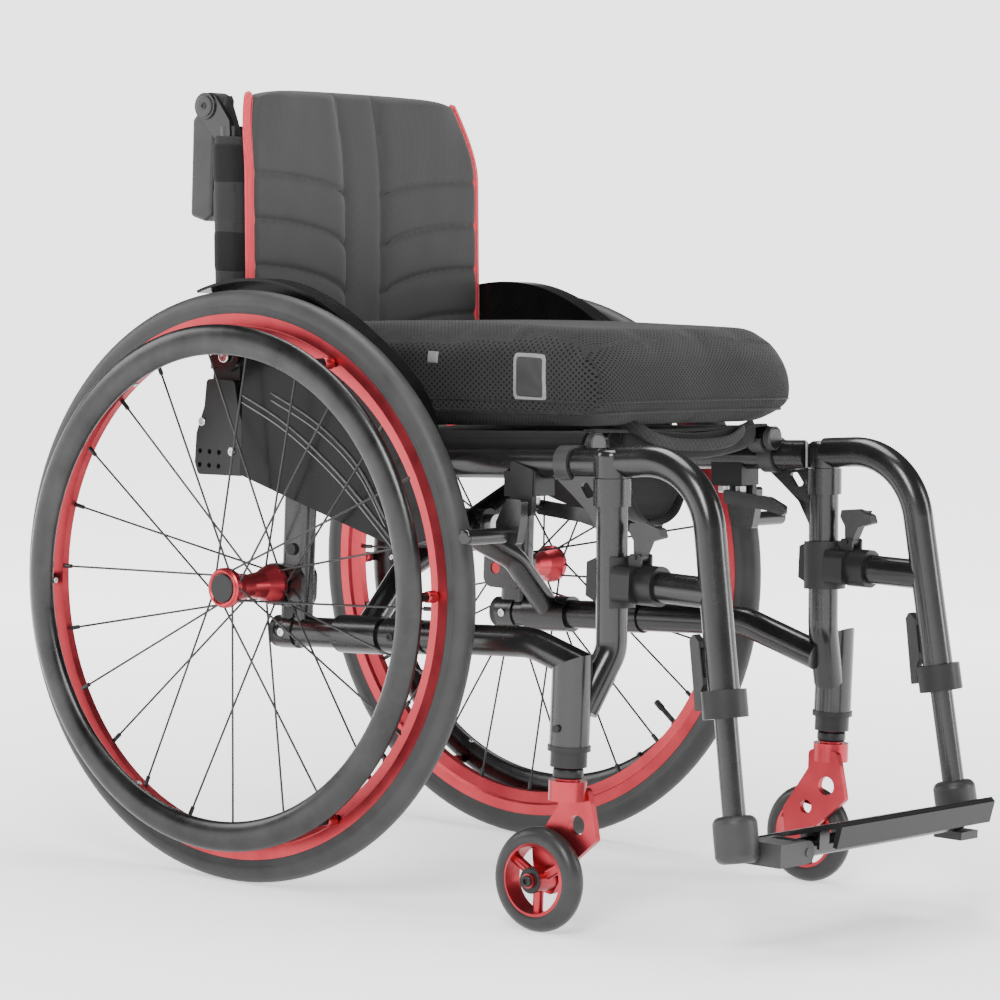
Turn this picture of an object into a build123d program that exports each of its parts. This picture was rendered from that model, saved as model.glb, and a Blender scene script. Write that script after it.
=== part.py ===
from build123d import *
import os
from math import atan2, cos, pi, radians, sin

os.makedirs("parts", exist_ok=True)

# Folding active wheelchair, in millimetres.  The chair faces -Y with +Z up.
# Its right-hand side is at -X.  Points below are written from the rear axle
# line and the floor, then moved by AXLE_Y so that the length is centred.

# ---- overall layout --------------------------------------------------------
WHEEL_R = 295.0           # rear wheel, outside of the tyre (25-540)
FRONT_REACH = 645.0       # rear axle to the foremost edge of the footplate
AXLE_Y = (FRONT_REACH - WHEEL_R) / 2
WHEEL_X = 236.0           # middle of each rear wheel from the centre plane
FRAME_TILT = 3.4          # seat rises to the front, in degrees
LOWER_X = 177.0           # lower tubes, and front posts
TOP_X = 168.0             # top tubes of the side frames
RAIL_X = 147.0            # seat rails
TUBE_R = 15.0             # main frame tubes
RAIL_R = 11.0
LOWER_Z = 247.5           # lower tube's height where it passes the axle
TOP_H = 171.5             # top tube above the lower tube, square to it
RAIL_H = 188.6            # seat rail above the lower tube, square to it
SOFT_GAP = 0.4            # gap kept around soft pieces
RUN_GAP = 0.05            # radial running clearance of pins and shafts

# ---- rear wheels -----------------------------------------------------------
TYRE_R = 12.5
TYRE_WALL = 4.0
RIM_OUT = 271.5
RIM_IN = 247.0
RIM_HALF = 10.5
HUB_FLANGE_R = 20.0
HUB_WAIST_R = 12.0
HUB_OUT_X = 266.0
HUB_IN_X = 191.0
AXLE_R = 6.3
BUTTON_R = 14.5
SPOKE_COUNT = 24
SPOKE_R = 1.1
NIPPLE_R = 2.2
HANDRIM_X = 272.0
HANDRIM_R = 246.0
HANDRIM_RADIAL = 15.0
HANDRIM_AXIAL = 8.0
HANDRIM_TABS = 6

# ---- castors ---------------------------------------------------------------
CASTOR_R = 50.0
CASTOR_X = 225.0
CASTOR_Y = -378.0
STEM_X = 220.0
STEM_Y = -404.0
STEM_R = 11.5
CROWN_Z = 128.0
HOUSING_R = 19.0
HOUSING_Z = 180.0

# ---- fold ------------------------------------------------------------------
PIVOT_H = LOWER_X * RAIL_H / (LOWER_X + RAIL_X)
ARM_R = 13.0
ARM_B_S = 70.0            # plane of arm B, forward of the axle
ARM_A_S = 110.0           # plane of arm A
SLEEVE_R = 19.0

# ---- front rigging ---------------------------------------------------------
POST_TOP = (-LOWER_X, -410.0, 430.0)
POST_LOW = (-LOWER_X, -417.0, 268.0)
HANGER_BEND = (-174.0, -513.0, 455.0)
HANGER_END = (-183.5, -556.0, 222.0)
EXTENSION_R = 11.0
FOOT_X = 132.0            # footplate hinge from the centre plane
FOOT_Y = -599.0
FOOT_Z = 97.0
FOOT_TUBE_R = 9.5

# ---- back ------------------------------------------------------------------
BACK_X = 172.0
BACK_PIVOT = (80.0, 520.0)
BACK_TOP = (94.0, 752.0)
BACK_R = 12.5
HANDLE_PIVOT = (119.0, 772.0)

TILT = radians(FRAME_TILT)
FORWARD = Vector(0, -cos(TILT), sin(TILT))
UPWARD = Vector(0, sin(TILT), cos(TILT))


def at(x, y, z):
    """A point written from the rear axle line and the floor."""
    return Vector(x, AXLE_Y + y, z)


def in_frame(x, h, s):
    """A point written in the tilted frame: across, above and forward."""
    return at(x, 0, LOWER_Z) + UPWARD * h + FORWARD * s


def frame_bar(x, h, s_low, s_high, radius):
    """A round bar lying along the frame tubes."""
    return bar(in_frame(x, h, s_low), in_frame(x, h, s_high), radius)


def frame_plane(x, h, s):
    """A plane square to the frame tubes, with its Y axis up."""
    return Plane(origin=in_frame(x, h, s), x_dir=(1, 0, 0), z_dir=FORWARD)


def side_plane(x):
    """An upright plane at x, drawn as (forward is -Y, height is Z)."""
    return Plane(origin=at(x, 0, 0), x_dir=(0, 1, 0), z_dir=(1, 0, 0))


def bar(start, end, radius):
    """A straight round bar between two points."""
    span = Vector(*end) - Vector(*start)
    with BuildPart() as piece:
        with BuildSketch(Plane(origin=start, z_dir=span)):
            Circle(radius)
        extrude(amount=span.length)
    return piece.part


def bent_bar(points, bends, radius):
    """A round bar along straight runs joined by tangent bends."""
    with BuildPart() as piece:
        with BuildLine() as route:
            FilletPolyline(*points, radius=bends)
        with BuildSketch(Plane(origin=route.line @ 0, z_dir=route.line % 0)):
            Circle(radius)
        sweep()
    return piece.part


def side_plate(outline, x_low, x_high, corner=0.0):
    """A plate with an outline in the upright side plane."""
    with BuildPart() as piece:
        with BuildSketch(side_plane(x_low)) as face:
            with BuildLine():
                Polyline(*outline, close=True)
            make_face()
            if corner:
                fillet(face.vertices(), corner)
        extrude(amount=x_high - x_low)
    return piece.part


def cross_bar(y, z, x_low, x_high, radius):
    """A round bar lying along X."""
    return bar(at(x_low, y, z), at(x_high, y, z), radius)


def left_hand(part):
    """The same piece for the other side of the chair."""
    return mirror(part, about=Plane.YZ)


def cut_by(part, *tools):
    """A part with other parts' shapes taken out of it."""
    with BuildPart() as piece:
        add(part)
        for tool in tools:
            add(tool, mode=Mode.SUBTRACT)
    return piece.part


# ---- side frame ------------------------------------------------------------
TOP_RUN = (in_frame(-TOP_X, TOP_H, -46), in_frame(-TOP_X, TOP_H, 408))
LOWER_RUN = (
    in_frame(-LOWER_X, 0, 4),
    in_frame(-LOWER_X, 0, 322),
    at(-LOWER_X, -412, 240),
)
POST_RUN = (at(*POST_TOP), at(*POST_LOW), at(-206, -407, 212))
REAR_POST_Y = -21.0
POST_UP = (Vector(*POST_TOP) - Vector(*POST_LOW)).normalized()
PIVOT_AXIS = Plane(origin=at(*POST_TOP), x_dir=(1, 0, 0), z_dir=POST_UP)

top_tube = bar(*TOP_RUN, TUBE_R)
lower_tube = bent_bar(LOWER_RUN, [70], TUBE_R)
front_post = bent_bar(POST_RUN, [34], TUBE_R)

stem_bore = bar(at(-STEM_X, STEM_Y, 170), at(-STEM_X, STEM_Y, 244), STEM_R + RUN_GAP)

with BuildPart() as castor_housing:
    with BuildSketch(Plane(origin=at(-STEM_X, STEM_Y, HOUSING_Z))):
        Circle(HOUSING_R)
    extrude(amount=92)
    split(
        bisect_by=Plane(origin=at(-STEM_X, STEM_Y, 258), z_dir=(0.0, 0.42, 0.91)),
        keep=Keep.BOTTOM,
    )

gusset = side_plate(
    [(-334, 432), (-404, 434), (-410, 360), (-402, 366), (-384, 395), (-362, 412)],
    -LOWER_X,
    -LOWER_X + 5,
)
gusset_hole = side_plate([(-391, 412), (-381, 424), (-370, 423), (-381, 409)], -180, -168, 3)

with BuildPart() as side_frame_r:
    add(top_tube)
    add(lower_tube)
    add(front_post)
    add(castor_housing.part)
    add(gusset)
    add(frame_bar(-LOWER_X, 0, 142, 192, TUBE_R + 2))
    add(frame_bar(-LOWER_X, 0, 4, 26, TUBE_R + 2))
    with BuildSketch(Plane(origin=at(-LOWER_X, REAR_POST_Y, 236))):
        RectangleRounded(20, 34, 8)
    extrude(amount=182)
    with BuildSketch(side_plane(-189)):
        with Locations((REAR_POST_Y + 11, 295)):
            RectangleRounded(52, 42, 12)
    extrude(amount=24)
    with BuildSketch(PIVOT_AXIS.offset(-26)):
        Circle(TUBE_R + 3)
    extrude(amount=26)
    with BuildSketch(PIVOT_AXIS):
        Circle(TUBE_R + 4.2)
    extrude(amount=45, mode=Mode.SUBTRACT)
    with BuildSketch(PIVOT_AXIS):
        Circle(10 + RUN_GAP)
    extrude(amount=-52, mode=Mode.SUBTRACT)
    add(gusset_hole, mode=Mode.SUBTRACT)
    add(bar(at(-200, 0, 295), at(-150, 0, 295), AXLE_R + RUN_GAP), mode=Mode.SUBTRACT)
    add(bar(TOP_RUN[0] - FORWARD, in_frame(-TOP_X, TOP_H, 10), 12.5), mode=Mode.SUBTRACT)
    add(stem_bore, mode=Mode.SUBTRACT)

# ---- trim on the side frame -------------------------------------------------
with BuildPart() as frame_hardware_r:
    with BuildSketch(Plane(origin=at(-STEM_X, STEM_Y, 160))):
        Circle(17.5)
        Circle(STEM_R + 0.4, mode=Mode.SUBTRACT)
    extrude(amount=15)
    with BuildSketch(Plane(origin=at(-STEM_X, STEM_Y, 175))):
        Circle(20.5)
        Circle(STEM_R + 0.4, mode=Mode.SUBTRACT)
    extrude(amount=5)
    add(bar(at(-STEM_X - 22.5, STEM_Y, 197), at(-STEM_X - 19, STEM_Y, 197), 3.6))
    add(frame_bar(-LOWER_X, 0, -3, 4, TUBE_R + 1))
    for bolt_z in (268, 332):
        add(bar(at(-LOWER_X - 13, REAR_POST_Y, bolt_z), at(-LOWER_X - 10, REAR_POST_Y, bolt_z), 6))
    add(side_plate([(-401, 312), (-401, 356), (-388, 350), (-388, 318)], -183, -171))
    add(side_frame_r.part, mode=Mode.SUBTRACT)


def rail_cradle(s_start):
    """A clip on the top tube with an open half cup for the seat rail."""
    with BuildPart() as piece:
        with BuildSketch(frame_plane(-TOP_X, TOP_H, s_start)):
            Circle(TUBE_R + 3.2)
        extrude(amount=16)
        with BuildSketch(frame_plane(-RAIL_X, RAIL_H, s_start)):
            Circle(RAIL_R + 3.4)
        extrude(amount=16)
        with BuildSketch(frame_plane(-RAIL_X, RAIL_H, s_start)):
            Rectangle(60, 40, align=(Align.CENTER, Align.MIN))
        extrude(amount=16, mode=Mode.SUBTRACT)
        with BuildSketch(frame_plane(-RAIL_X, RAIL_H, s_start)):
            Circle(RAIL_R + SOFT_GAP)
        extrude(amount=16, mode=Mode.SUBTRACT)
        with BuildSketch(frame_plane(-TOP_X, TOP_H, s_start)):
            Circle(TUBE_R)
        extrude(amount=16, mode=Mode.SUBTRACT)
    return piece.part


with BuildPart() as seat_saddle_r:
    add(rail_cradle(356))
    add(rail_cradle(-24))
    add(gusset, mode=Mode.SUBTRACT)

# ---- side guard ------------------------------------------------------------
GUARD_OUT = -193.0
GUARD_IN = -189.6
FENDER_EDGE = -217.0
FENDER_TOP = (
    (93, 586),
    (36, 600),
    (-22, 598),
    (-80, 578),
    (-137, 544),
    (-178, 512),
    (-206, 470),
)
FENDER_THICK = 3.0


def nearer_axle(point, step):
    """A side-plane point moved towards the axle."""
    angle = atan2(point[1] - WHEEL_R, point[0])
    return (point[0] - step * cos(angle), point[1] - step * sin(angle))


with BuildPart() as side_guard_r:
    with BuildSketch(side_plane(GUARD_OUT)) as guard_face:
        with BuildLine():
            guard_top = Spline(*FENDER_TOP)
            Polyline(
                guard_top @ 1,
                (-212, 400),
                (-198, 348),
                (-160, 345),
                (-60, 372),
                (48, 402),
                (48, 545),
                (93, 560),
                guard_top @ 0,
            )
        make_face()
    extrude(amount=GUARD_IN - GUARD_OUT)
    with BuildSketch(side_plane(FENDER_EDGE)):
        with BuildLine():
            fender_top = Spline(*FENDER_TOP)
            fender_low = Spline(*[nearer_axle(p, FENDER_THICK) for p in FENDER_TOP])
            Line(fender_top @ 0, fender_low @ 0)
            Line(fender_top @ 1, fender_low @ 1)
        make_face()
    extrude(amount=GUARD_IN - FENDER_EDGE)

# ---- fold: cross arms, centre bolt, seat rails -------------------------------
def cross_arm(side, s):
    """An arm from the lower tube on one side to the seat rail on the other."""
    route = (
        in_frame(-side * RAIL_X, RAIL_H, s),
        in_frame(-side * 96, 146, s),
        in_frame(side * 112, 62, s),
        in_frame(side * LOWER_X, 0, s),
    )
    with BuildPart() as arm:
        add(bent_bar(route, [40, 60], ARM_R))
        add(frame_bar(side * LOWER_X, 0, s - 28, s + 28, SLEEVE_R))
        add(frame_bar(0, PIVOT_H, s - 19, s + 19, 16))
        bore = frame_bar(side * LOWER_X, 0, s - 40, s + 40, TUBE_R + RUN_GAP)
        add(bore, mode=Mode.SUBTRACT)
        rail = frame_bar(-side * RAIL_X, RAIL_H, s - 40, s + 40, RAIL_R)
        add(rail, mode=Mode.SUBTRACT)
        above = frame_bar(-side * RAIL_X, RAIL_H + 22, s - 40, s + 40, 22 - RAIL_R + 8)
        add(above, mode=Mode.SUBTRACT)
        beside = frame_bar(-side * TOP_X, TOP_H, s - 40, s + 40, TUBE_R + 0.6)
        add(beside, mode=Mode.SUBTRACT)
        pin = frame_bar(0, PIVOT_H, s - 40, s + 40, 5 + RUN_GAP)
        add(pin, mode=Mode.SUBTRACT)
    return arm.part


with BuildPart() as cross_arm_a:
    add(cross_arm(-1, ARM_A_S))
with BuildPart() as cross_arm_b:
    add(cross_arm(1, ARM_B_S))
with BuildPart() as cross_bolt:
    add(frame_bar(0, PIVOT_H, ARM_B_S - 25, ARM_A_S + 25, 5))
    add(frame_bar(0, PIVOT_H, ARM_B_S - 29, ARM_B_S - 20, 10))
    add(frame_bar(0, PIVOT_H, ARM_A_S + 19.3, ARM_A_S + 28, 10))

with BuildPart() as seat_rail_r:
    add(frame_bar(-RAIL_X, RAIL_H, -30, 374, RAIL_R))
    add(frame_bar(-RAIL_X, RAIL_H, 374, 382, RAIL_R + 0.3))
    fillet(faces().sort_by(Axis.Y)[0].edges(), 2)
    fillet(faces().sort_by(Axis.Y)[-1].edges(), 2)

# ---- seat: sling and cushion --------------------------------------------------
SLING_H = RAIL_H + RAIL_R + SOFT_GAP
CUSHION_HALF = 175.0
with BuildPart() as seat_sling:
    with BuildSketch(frame_plane(0, SLING_H, -24)):
        Rectangle(2 * RAIL_X + 18, 2.4, align=(Align.CENTER, Align.MIN))
    extrude(amount=396)
    with BuildSketch(frame_plane(0, SLING_H, 316)):
        with BuildLine():
            Polyline((-42, 0), (-40, -34), (-26, -62), (0, -72), (26, -62), (40, -34), (42, 0))
            offset(amount=1.3)
        make_face()
    extrude(amount=34)

with BuildPart() as seat_cushion:
    with BuildSketch(side_plane(-CUSHION_HALF)) as cushion_face:
        with BuildLine():
            Polyline((38, 453), (-388, 478.5), (-398, 553), (38, 556), close=True)
        make_face()
    extrude(amount=2 * CUSHION_HALF)
    fillet(edges().filter_by(Axis.X), 16)
    fillet(faces().sort_by(Axis.X)[0].edges(), 12)
    fillet(faces().sort_by(Axis.X)[-1].edges(), 12)

# ---- rear wheels ---------------------------------------------------------------
HUB_AXIS = Axis(at(0, 0, WHEEL_R), (1, 0, 0))
WHEEL_PLANE = Plane(origin=at(-WHEEL_X, 0, WHEEL_R), x_dir=(0, 0, 1), z_dir=(0, 1, 0))
HUB_PLANE = Plane(origin=at(0, 0, WHEEL_R), x_dir=(0, 0, 1), z_dir=(0, 1, 0))
RIM_PROFILE = (
    (RIM_IN, -4.5),
    (RIM_OUT - 13, -7),
    (RIM_OUT - 11, -RIM_HALF),
    (RIM_OUT, -RIM_HALF),
    (RIM_OUT, RIM_HALF),
    (RIM_OUT - 11, RIM_HALF),
    (RIM_OUT - 13, 7),
    (RIM_IN, 4.5),
)
TYRE_MID = WHEEL_R - TYRE_R
TYRE_BEAD = (
    (RIM_OUT, -RIM_HALF + 0.3),
    (TYRE_MID, -TYRE_R),
    (TYRE_MID, TYRE_R),
    (RIM_OUT, RIM_HALF - 0.3),
)
# hub: distance out from the centre plane against radius
HUB_PROFILE = (
    (AXLE_R + 0.2, HUB_IN_X),
    (HUB_FLANGE_R, HUB_IN_X),
    (HUB_FLANGE_R, HUB_IN_X + 5),
    (HUB_WAIST_R + 2, HUB_IN_X + 20),
    (HUB_WAIST_R, (HUB_IN_X + HUB_OUT_X) / 2),
    (HUB_WAIST_R + 2, HUB_OUT_X - 20),
    (HUB_FLANGE_R, HUB_OUT_X - 7),
    (HUB_FLANGE_R, HUB_OUT_X - 1.5),
    (HUB_FLANGE_R - 1.5, HUB_OUT_X),
    (BUTTON_R + 0.25, HUB_OUT_X),
    (BUTTON_R + 0.25, HUB_OUT_X - 9),
    (AXLE_R + 0.2, HUB_OUT_X - 9),
)

with BuildPart() as wheel_tyre_r:
    with BuildSketch(WHEEL_PLANE):
        with BuildLine():
            Polyline(*TYRE_BEAD, close=True)
        make_face()
        with Locations((TYRE_MID, 0)):
            Circle(TYRE_R)
            Circle(TYRE_R - TYRE_WALL, mode=Mode.SUBTRACT)
    revolve(axis=HUB_AXIS)

with BuildPart() as wheel_rim_r:
    with BuildSketch(WHEEL_PLANE):
        with BuildLine():
            Polyline(*RIM_PROFILE, close=True)
        make_face()
        with Locations((TYRE_MID, 0)):
            Circle(TYRE_R, mode=Mode.SUBTRACT)
    revolve(axis=HUB_AXIS)

with BuildPart() as wheel_hub_r:
    with BuildSketch(HUB_PLANE):
        with BuildLine():
            Polyline(*[(r, -x) for r, x in HUB_PROFILE], close=True)
        make_face()
    revolve(axis=HUB_AXIS)
    add(bar(at(-(HUB_OUT_X - 16), 0, WHEEL_R), at(-166, 0, WHEEL_R), AXLE_R))
    add(bar(at(-(HUB_OUT_X - 9), 0, WHEEL_R), at(-(HUB_OUT_X - 18), 0, WHEEL_R), AXLE_R + 0.2))
    with BuildSketch(Plane(origin=at(-HUB_OUT_X + 9, 0, WHEEL_R), z_dir=(1, 0, 0))):
        Circle(3 + RUN_GAP)
    extrude(amount=22, mode=Mode.SUBTRACT)

with BuildPart() as hub_button_r:
    with BuildSketch(Plane(origin=at(-HUB_OUT_X - 1.8, 0, WHEEL_R), z_dir=(1, 0, 0))):
        Circle(BUTTON_R)
    extrude(amount=6)
    fillet(edges().sort_by(Axis.X)[0], 1.5)
    with BuildSketch(Plane(origin=at(-HUB_OUT_X + 4, 0, WHEEL_R), z_dir=(1, 0, 0))):
        Circle(3)
    extrude(amount=20)


def spoke(index):
    """One spoke with its nipple; odd ones start at the inner flange."""
    turn = 2 * pi * index / SPOKE_COUNT
    inner = index % 2
    lean = radians(38 if index % 4 < 2 else -38)
    side_step = 1.0 if lean > 0 else -1.0
    root_x = (-(HUB_IN_X + 2.5) if inner else -(HUB_OUT_X - 4.2)) + 1.4 * side_step
    root_r = HUB_FLANGE_R - 1.5
    root = at(root_x, root_r * cos(turn + lean), WHEEL_R + root_r * sin(turn + lean))
    tip_x = -WHEEL_X + (2.0 if inner else -2.0) + side_step
    tip_r = RIM_IN + 1.5
    tip = at(tip_x, tip_r * cos(turn), WHEEL_R + tip_r * sin(turn))
    along = (tip - root).normalized()
    with BuildPart() as piece:
        add(bar(root, tip, SPOKE_R))
        add(bar(tip - along * 12, tip, NIPPLE_R))
    return cut_by(piece.part, wheel_rim_r.part, wheel_hub_r.part)


spokes = [spoke(index) for index in range(SPOKE_COUNT)]
with BuildPart() as wheel_spokes_r:
    for piece in spokes:
        add(piece)

with BuildPart() as handrim_r:
    with BuildSketch(WHEEL_PLANE):
        with Locations((HANDRIM_R, -(HANDRIM_X - WHEEL_X))):
            Ellipse(HANDRIM_RADIAL, HANDRIM_AXIAL)
    revolve(axis=HUB_AXIS)
    for tab in range(HANDRIM_TABS):
        turn = radians(360 / HANDRIM_TABS * tab - 3)
        tab_y = (RIM_IN + 10) * cos(turn)
        tab_z = WHEEL_R + (RIM_IN + 10) * sin(turn)
        add(bar(at(-HANDRIM_X + 3, tab_y, tab_z), at(-WHEEL_X - 2, tab_y, tab_z), 4.5))
    add(wheel_rim_r.part, mode=Mode.SUBTRACT)

# ---- castors -------------------------------------------------------------------
CASTOR_AXIS = Axis(at(0, CASTOR_Y, CASTOR_R), (1, 0, 0))
CASTOR_PLANE = Plane(origin=at(-CASTOR_X, CASTOR_Y, CASTOR_R), x_dir=(0, 0, 1), z_dir=(0, 1, 0))
FORK_IN = -205.0
FORK_OUT = -212.0
FORK_OUTLINE = (
    (STEM_Y + 17, 140),
    (STEM_Y + 17, 120),
    (CASTOR_Y + 20, 76),
    (CASTOR_Y + 15, 38),
    (CASTOR_Y - 6, 34),
    (CASTOR_Y - 22, 62),
    (STEM_Y - 30, 92),
    (STEM_Y - 22, 126),
    (STEM_Y - 17, 140),
)
FORK_HOLES = ((STEM_Y - 6, 104, 9.5), (CASTOR_Y - 8, 80, 7))

with BuildPart() as castor_fork_r:
    add(side_plate(FORK_OUTLINE, FORK_OUT, FORK_IN, 5))
    with BuildSketch(Plane(origin=at(-STEM_X, STEM_Y, CROWN_Z))):
        Circle(18)
    extrude(amount=19)
    with BuildSketch(Plane(origin=at(-STEM_X, STEM_Y, 147))):
        Circle(STEM_R)
    extrude(amount=95)
    for hole_y, hole_z, hole_r in FORK_HOLES:
        add(cross_bar(hole_y, hole_z, -216, -201, hole_r), mode=Mode.SUBTRACT)
    add(cross_bar(CASTOR_Y, CASTOR_R, -239, FORK_IN, 4))
    add(cross_bar(CASTOR_Y, CASTOR_R, -243, -238.4, 7))

with BuildPart() as castor_wheel_r:
    with BuildSketch(CASTOR_PLANE):
        with BuildLine():
            Polyline((4 + RUN_GAP, -13), (12, -13), (12, 12.4), (4 + RUN_GAP, 12.4), close=True)
        make_face()
        with BuildLine():
            Polyline((32, -11), (38, -9), (38, 9), (32, 11), close=True)
        make_face()
    revolve(axis=CASTOR_AXIS)
    for arm in range(3):
        turn = radians(120 * arm + 30)
        start = at(-CASTOR_X, CASTOR_Y + 9 * cos(turn), CASTOR_R + 9 * sin(turn))
        end = at(-CASTOR_X, CASTOR_Y + 35 * cos(turn), CASTOR_R + 35 * sin(turn))
        add(bar(start, end, 5))
    add(cross_bar(CASTOR_Y, CASTOR_R, -245, -200, 4 + RUN_GAP), mode=Mode.SUBTRACT)

with BuildPart() as castor_tyre_r:
    with BuildSketch(CASTOR_PLANE):
        with Locations((CASTOR_R - 11, 0)):
            Circle(11)
    revolve(axis=CASTOR_AXIS)
    add(castor_wheel_r.part, mode=Mode.SUBTRACT)
    with BuildSketch(Plane(origin=at(-CASTOR_X - 20, CASTOR_Y, CASTOR_R), z_dir=(1, 0, 0))):
        Circle(35)
    extrude(amount=40, mode=Mode.SUBTRACT)

# ---- hangers -------------------------------------------------------------------
HANGER_DOWN = (Vector(*HANGER_END) - Vector(*HANGER_BEND)).normalized()
STUB_Z = 333.0


def along_hanger(distance):
    """A point on the lower run, measured up from its bottom end."""
    return at(*(Vector(*HANGER_END) - HANGER_DOWN * distance))


STUB_POINT = along_hanger(112)
LATCH_PLANE = Plane(origin=at(-LOWER_X, -415.6, STUB_Z - 24), x_dir=(1, 0, 0), z_dir=POST_UP)
LATCH_MOUTH = ((0, 0), (43, 25), (43, 60), (-61, 60), (-61, -35))
LEVER_PIVOT = (-447.0, 359.0)
FAN_OUTLINE = (
    (-443, 358),
    (-451, 358),
    (-458, 374),
    (-474, 379),
    (-471, 387),
    (-454, 392),
    (-437, 390),
    (-436, 383),
    (-442, 374),
)
with BuildPart() as hanger_dome:
    with BuildSketch(PIVOT_AXIS.offset(0.6)):
        Circle(TUBE_R + 1.5)
    extrude(amount=27)
    fillet(edges().sort_by(Axis.Z)[-1], 7)

with BuildPart() as hanger_r:
    add(bent_bar((at(-LOWER_X + 2, -413, 446), at(*HANGER_BEND), at(*HANGER_END)), [72], TUBE_R))
    add(hanger_dome.part)
    with BuildSketch(PIVOT_AXIS.offset(0.6)):
        Circle(10)
    extrude(amount=-46)
    add(bar(at(-LOWER_X, -446, STUB_Z), STUB_POINT, TUBE_R - 0.5))
    add(bar(along_hanger(-2), along_hanger(120), EXTENSION_R + RUN_GAP), mode=Mode.SUBTRACT)

with BuildPart() as hanger_latch_r:
    with BuildSketch(LATCH_PLANE):
        Circle(22)
        Circle(TUBE_R + 0.5, mode=Mode.SUBTRACT)
        Polygon(*LATCH_MOUTH, align=None, mode=Mode.SUBTRACT)
    extrude(amount=48)
    with BuildSketch(Plane(origin=at(-LOWER_X, -448, STUB_Z), z_dir=(0, -1, 0))):
        Circle(19)
    extrude(amount=24)
    with BuildSketch(Plane(origin=at(-LOWER_X, -430, STUB_Z), z_dir=(0, -1, 0))):
        RectangleRounded(34, 48, 8)
    extrude(amount=22)
    for ear_x in (-186.5, -170.5):
        add(side_plate([(-454, 345), (-454, 362), (-440, 362), (-440, 345)], ear_x, ear_x + 3, 3))
    add(bar(at(*POST_LOW), at(*POST_TOP), TUBE_R + 0.5), mode=Mode.SUBTRACT)
    add(hanger_r.part, mode=Mode.SUBTRACT)
    add(cross_bar(*LEVER_PIVOT, -183.4, -170.6, 5.6), mode=Mode.SUBTRACT)
    add(side_plate([(-460, 353), (-460, 366), (-434, 366), (-434, 353)], -183.4, -170.6), mode=Mode.SUBTRACT)
    add(cross_bar(*LEVER_PIVOT, -188, -166, 2))
    with BuildSketch(Plane(origin=along_hanger(-3), z_dir=-HANGER_DOWN)):
        Circle(TUBE_R + 6.5)
        Circle(TUBE_R, mode=Mode.SUBTRACT)
    extrude(amount=26)
    with BuildSketch(Plane(origin=along_hanger(-3), z_dir=-HANGER_DOWN)):
        Circle(TUBE_R)
        Circle(EXTENSION_R + 0.5, mode=Mode.SUBTRACT)
    extrude(amount=3)

with BuildPart() as release_lever_r:
    add(side_plate(FAN_OUTLINE, -183, -171, 1.5))
    add(cross_bar(*LEVER_PIVOT, -183, -171, 5))
    add(cross_bar(*LEVER_PIVOT, -190, -165, 2 + RUN_GAP), mode=Mode.SUBTRACT)

CLAMP_BACK = Vector(0, 0.983, -0.182)
CLAMP_X = -183.0


def clamp_point(up, back):
    """A side-plane point beside the hanger's lower end."""
    point = along_hanger(up) + CLAMP_BACK * back
    return (point.Y - AXLE_Y, point.Z)


CLAMP_PIVOT = clamp_point(8, 27)
CLAMP_OUTLINE = [
    clamp_point(6, 23.5),
    clamp_point(6, 31),
    clamp_point(72, 29),
    clamp_point(78, 24),
    clamp_point(70, 18.5),
    clamp_point(30, 18.5),
    clamp_point(22, 23),
]
with BuildPart() as clamp_lever_r:
    add(side_plate(CLAMP_OUTLINE, CLAMP_X - 5, CLAMP_X + 5, 1.5))
    window = [clamp_point(*p) for p in ((36, 0), (36, 60), (64, 60), (64, 0))]
    add(side_plate(window, CLAMP_X - 3, CLAMP_X + 3, 1), mode=Mode.SUBTRACT)
    blade = [clamp_point(*p) for p in ((30, 26.5), (30, 28), (70, 27.5), (70, 26))]
    add(side_plate(blade, CLAMP_X - 5, CLAMP_X + 5))

# ---- extensions, knuckles and footplate ------------------------------------------
def below_hanger(distance):
    """A point on the extension's axis, measured down from the hanger's end."""
    return along_hanger(-distance)


with BuildPart() as extension_r:
    add(bar(along_hanger(96), below_hanger(112), EXTENSION_R))
    add(bar(along_hanger(97), below_hanger(60), EXTENSION_R - 2), mode=Mode.SUBTRACT)

with BuildPart() as knuckle_base:
    add(bar(below_hanger(93), below_hanger(137), 21))
    fillet(edges().filter_by(GeomType.CIRCLE), 8)
    add(bar(along_hanger(0), below_hanger(112), EXTENSION_R), mode=Mode.SUBTRACT)

EAR_IN = 13.0
EAR_THICK = 7.0
HINGE_R = 11.0
HINGE_AXIS_POINTS = (at(-FOOT_X, FOOT_Y - 30, FOOT_Z), at(-FOOT_X, FOOT_Y + 30, FOOT_Z))
with BuildPart() as knuckle_r:
    add(knuckle_base.part)
    with BuildSketch(Plane(origin=at(0, 0, FOOT_Z - HINGE_R))):
        with Locations((-161, FOOT_Y)):
            Rectangle(30, 2 * (EAR_IN + EAR_THICK))
    extrude(amount=2 * HINGE_R)
    for ear in (-1, 1):
        near_face = FOOT_Y + ear * EAR_IN
        far_face = FOOT_Y + ear * (EAR_IN + EAR_THICK)
        add(bar(at(-FOOT_X, near_face, FOOT_Z), at(-FOOT_X, far_face, FOOT_Z), HINGE_R))
        with BuildSketch(Plane(origin=at(0, 0, FOOT_Z - HINGE_R))):
            with Locations(((-FOOT_X - 147) / 2, (near_face + far_face) / 2)):
                Rectangle(147 - FOOT_X, EAR_THICK)
        extrude(amount=2 * HINGE_R)
    add(bar(along_hanger(0), below_hanger(112), EXTENSION_R), mode=Mode.SUBTRACT)
    add(bar(at(-FOOT_X, FOOT_Y - 21, FOOT_Z), at(-FOOT_X, FOOT_Y + 21, FOOT_Z), 4))

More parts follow.
